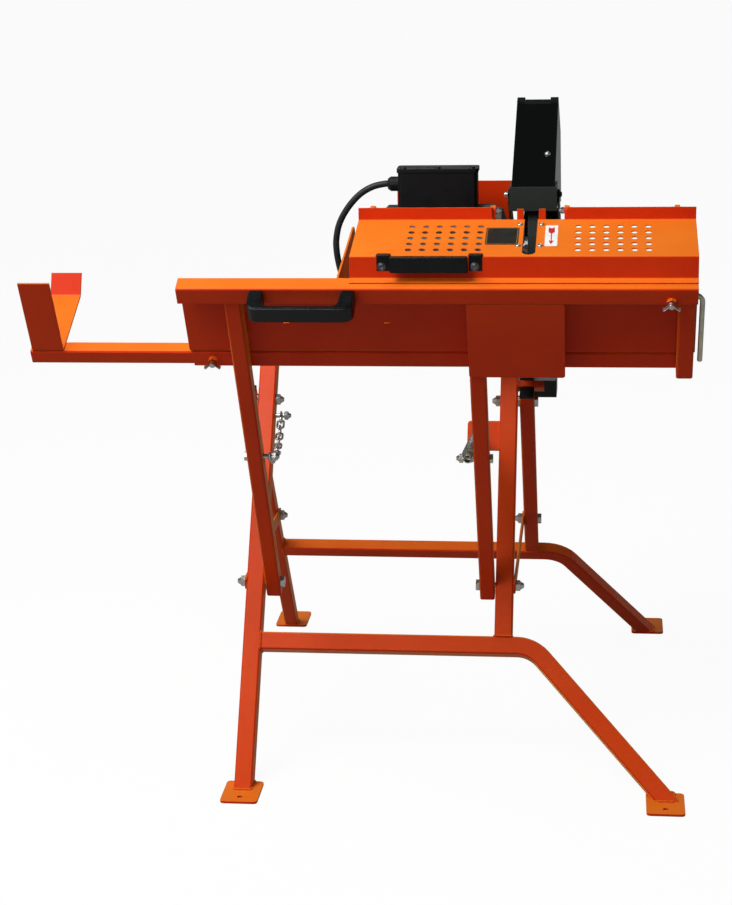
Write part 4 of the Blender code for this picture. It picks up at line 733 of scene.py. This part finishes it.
# Hood: folded front and rear plates between two side plates whose edges turn in over the rear plate
HOOD = [(-230, 104), (-230, 139), (-18, 242.8), (5, 247.5), (172, 169), (225, 60), (225, 40), (-165, 104)]
HOOD_INSIDE = [(-228, 104), (-228, 137.7), (-17.4, 240.8), (4.6, 245.4), (170.5, 167.5), (223, 59.5), (223, 40.2)]
EAR = [(-16, 243.2), (-16, 246.4), (6, 251.0), (173, 172.5), (226, 63), (226, 58), (172, 169), (5, 247.5)]
EAR_WIDTH = 13.0
hood = bmesh.new()
hood_at = world(BLADE_X, AXIS_Y, AXIS_Z)
for side in (-1, 1):
    outer_x = side * HOOD_WIDTH / 2
    for profile, width in ((HOOD, SHEET), (EAR, EAR_WIDTH)):
        low_face = hood_at + Vector((min(outer_x, outer_x - side * width), 0, 0)) * MM
        slab(hood, profile, low_face, (0, 1, 0), (0, 0, 1), width)
strip = HOOD[:7] + HOOD_INSIDE[::-1]
slab(hood, strip, hood_at + Vector((SHEET - HOOD_WIDTH / 2, 0, 0)) * MM, (0, 1, 0), (0, 0, 1), HOOD_WIDTH - 2 * SHEET)
hood = piece("hood_shell", hood, ENAMEL, "guard", smooth=False)
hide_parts("blade_hood")
hood_up = Vector((0, -103.8, 212.0)).normalized()
hood_seat = world(283.5, AXIS_Y - 149.0, AXIS_Z + 139 + 81 * 103.8 / 212.0)
dome = [(-0.5, 5.2), (0.6, 5.2), (2.2, 4.6), (3.6, 3.0), (4.1, 1.6), (3.0, 1.4)]
hood_screw = lathe(bmesh.new(), dome, hood_seat, hood_up)
piece("hood_screw", hood_screw, ZINC, "guard")

# Weld beads of the stand
welds = bmesh.new()
half = FRONT_TUBE / 2
for x in (-LEG_X, FRONT_ELBOW_X + FRONT_RAIL_L / tan(FRONT_SPLAY)):
    ring = [front(x + a, b, FOOT_THICK / cos(LEAN) + b * tan(LEAN)) for a, b in
            ((-half, -half), (half, -half), (half, half), (-half, half))]
    for i in range(4):
        bead(welds, ring[i], ring[(i + 1) % 4], 2.4, i + x)
joint = -LEG_X + half + 0.1
for through in (-half, half):
    bead(welds, front(joint, through, FRONT_RAIL_L - half), front(joint, through, FRONT_RAIL_L + half), 2.2, through)
for up_l in (FRONT_RAIL_L - half, FRONT_RAIL_L + half):
    bead(welds, front(joint, -half, up_l), front(joint, half, up_l), 2.2, up_l)
seam = FRONT_RAIL_L + half + 0.1
for x in (LEG_X - half, LEG_X + half):
    bead(welds, front(x, -half, seam), front(x, half, seam), 2.2, x)
for through in (-half, half):
    bead(welds, front(LEG_X - half, through, seam), front(LEG_X + half, through, seam), 2.2, through)
for side in (-1, 1):
    x = side * (LEG_X - half)
    for through in (-half, half):
        bead(welds, front(x, through, CROSSBAR_L - half), front(x, through, CROSSBAR_L + half), 2.0, side)
x = LEG_X + half
for through in (-REAR_TUBE / 2, REAR_TUBE / 2):
    bead(welds, front(x, through, STUB_L - REAR_TUBE / 2), front(x, through, STUB_L + REAR_TUBE / 2), 2.0, through)
for through in (-2.5, 2.5):
    ends = [front(LEG_X - half, through, SPRING_PLATE_L + to) for to in (-26, 26)]
    bead(welds, *ends, 2.0, through)
half = REAR_TUBE / 2
joint = -REAR_X + half + 0.1
for through in (-half, half):
    bead(welds, rear(joint, through, REAR_RAIL_L - half), rear(joint, through, REAR_RAIL_L + half), 2.0, through)
seam = REAR_RAIL_L + half + 0.1
for through in (-half, half):
    bead(welds, rear(REAR_X - half, through, seam), rear(REAR_X + half, through, seam), 2.0, through)
for x in (-REAR_X, REAR_ELBOW_X + REAR_RAIL_L / tan(REAR_SPLAY)):
    ring = [rear(x + a, b, FOOT_THICK / cos(LEAN) - b * tan(LEAN)) for a, b in
            ((-half, -half), (half, -half), (half, half), (-half, half))]
    for i in range(4):
        bead(welds, ring[i], ring[(i + 1) % 4], 2.2, i + x)
piece("stand_welds", welds, PAINT, "stand")

# Weld beads of the trough
welds = bmesh.new()
half = ARM_TUBE / 2
for x in (-ARM_X - half, -ARM_X + half):
    for low, high in ((520, 545), (580, 605)):
        bead(welds, trough(x, WALL_V - 0.2, low), trough(x, WALL_V - 0.2, high), 1.8, x)
piece("trough_welds", welds, PAINT, "trough")

# Floor, lights and background
floor_mesh = bmesh.new()
bmesh.ops.create_grid(floor_mesh, x_segments=8, y_segments=8, size=30.0)
mesh = bpy.data.meshes.new("floor")
floor_mesh.to_mesh(mesh)
floor_mesh.free()
floor = bpy.data.objects.new("floor", mesh)
floor.location.z = -0.0005
bpy.context.scene.collection.objects.link(floor)
g = Graph("pale_floor")
rays = g.add("ShaderNodeLightPath")
seen = g.math("MAXIMUM", rays.outputs["Is Camera Ray"], g.math("MULTIPLY", rays.outputs["Is Glossy Ray"], 0.2))
glow = g.feed(g.add("ShaderNodeEmission"), Color=(1, 1, 1, 1), Strength=1.1)
tone = g.mix(g.ramp(g.noise(1.5, 3.0), 0.3, 0.7), linear("989897"), linear("9E9E9D"))
g.finish(Base_Color=tone, Roughness=0.9, Specular_IOR_Level=0.1)
blend = g.feed(g.add("ShaderNodeMixShader"), _0=g.math("MULTIPLY", seen, 0.86), _1=g.shader.outputs[0],
               _2=glow.outputs[0])
g.tree.links.new(blend.outputs[0], g.tree.nodes["Material Output"].inputs["Surface"])
floor.data.materials.append(g.material)

sky = bpy.data.worlds.new("studio")
sky.use_nodes = True
tree = sky.node_tree


def world_node(kind, links=(), **settings):
    node = tree.nodes.new(kind)
    for key, value in settings.items():
        setattr(node, key, value)
    for number, source in links:
        if isinstance(source, bpy.types.NodeSocket):
            tree.links.new(source, node.inputs[number])
        else:
            node.inputs[number].default_value = source
    return node


light = tree.nodes["Background"]
light.inputs["Color"].default_value = (1.0, 1.0, 1.0, 1.0)
light.inputs["Strength"].default_value = 0.20
rays = world_node("ShaderNodeLightPath")
sky_way = world_node("ShaderNodeSeparateXYZ", [(0, tree.nodes.new("ShaderNodeTexCoord").outputs["Generated"])])
# Mirrored rays see a sky that darkens from the horizon up
horizon = world_node("ShaderNodeMapRange", [(0, sky_way.outputs["Z"]), (1, 0.05), (2, 0.35), (3, 0.9), (4, 0.10)])
mirrored = world_node("ShaderNodeBackground", [(1, horizon.outputs[0])])
glossy = world_node("ShaderNodeMath", [(0, rays.outputs["Is Glossy Ray"]), (1, rays.outputs["Is Transmission Ray"])],
                    operation="MAXIMUM")
lit = world_node("ShaderNodeMixShader", [(0, glossy.outputs[0]), (1, light.outputs[0]), (2, mirrored.outputs[0])])
white = world_node("ShaderNodeBackground", [(1, 1.0)])
view = world_node("ShaderNodeMixShader",
                  [(0, rays.outputs["Is Camera Ray"]), (1, lit.outputs[0]), (2, white.outputs[0])])
tree.links.new(view.outputs[0], tree.nodes["World Output"].inputs["Surface"])
bpy.context.scene.world = sky


def lamp(name, at, target, size, power):
    data = bpy.data.lights.new(name, "AREA")
    data.shape = "RECTANGLE"
    data.size, data.size_y = size
    data.energy = power
    obj = bpy.data.objects.new(name, data)
    obj.location = at
    obj.rotation_euler = (Vector(target) - Vector(at)).to_track_quat("-Z", "Y").to_euler()
    bpy.context.scene.collection.objects.link(obj)


lamp("key", (-1.2, -1.3, 3.1), (0, -0.1, 0.9), (1.9, 1.7), 115.0)
lamp("side", (-2.6, -2.4, 2.0), (0, 0, 0.7), (1.4, 1.6), 6.0)

bpy.context.scene.view_settings.view_transform = "Standard"
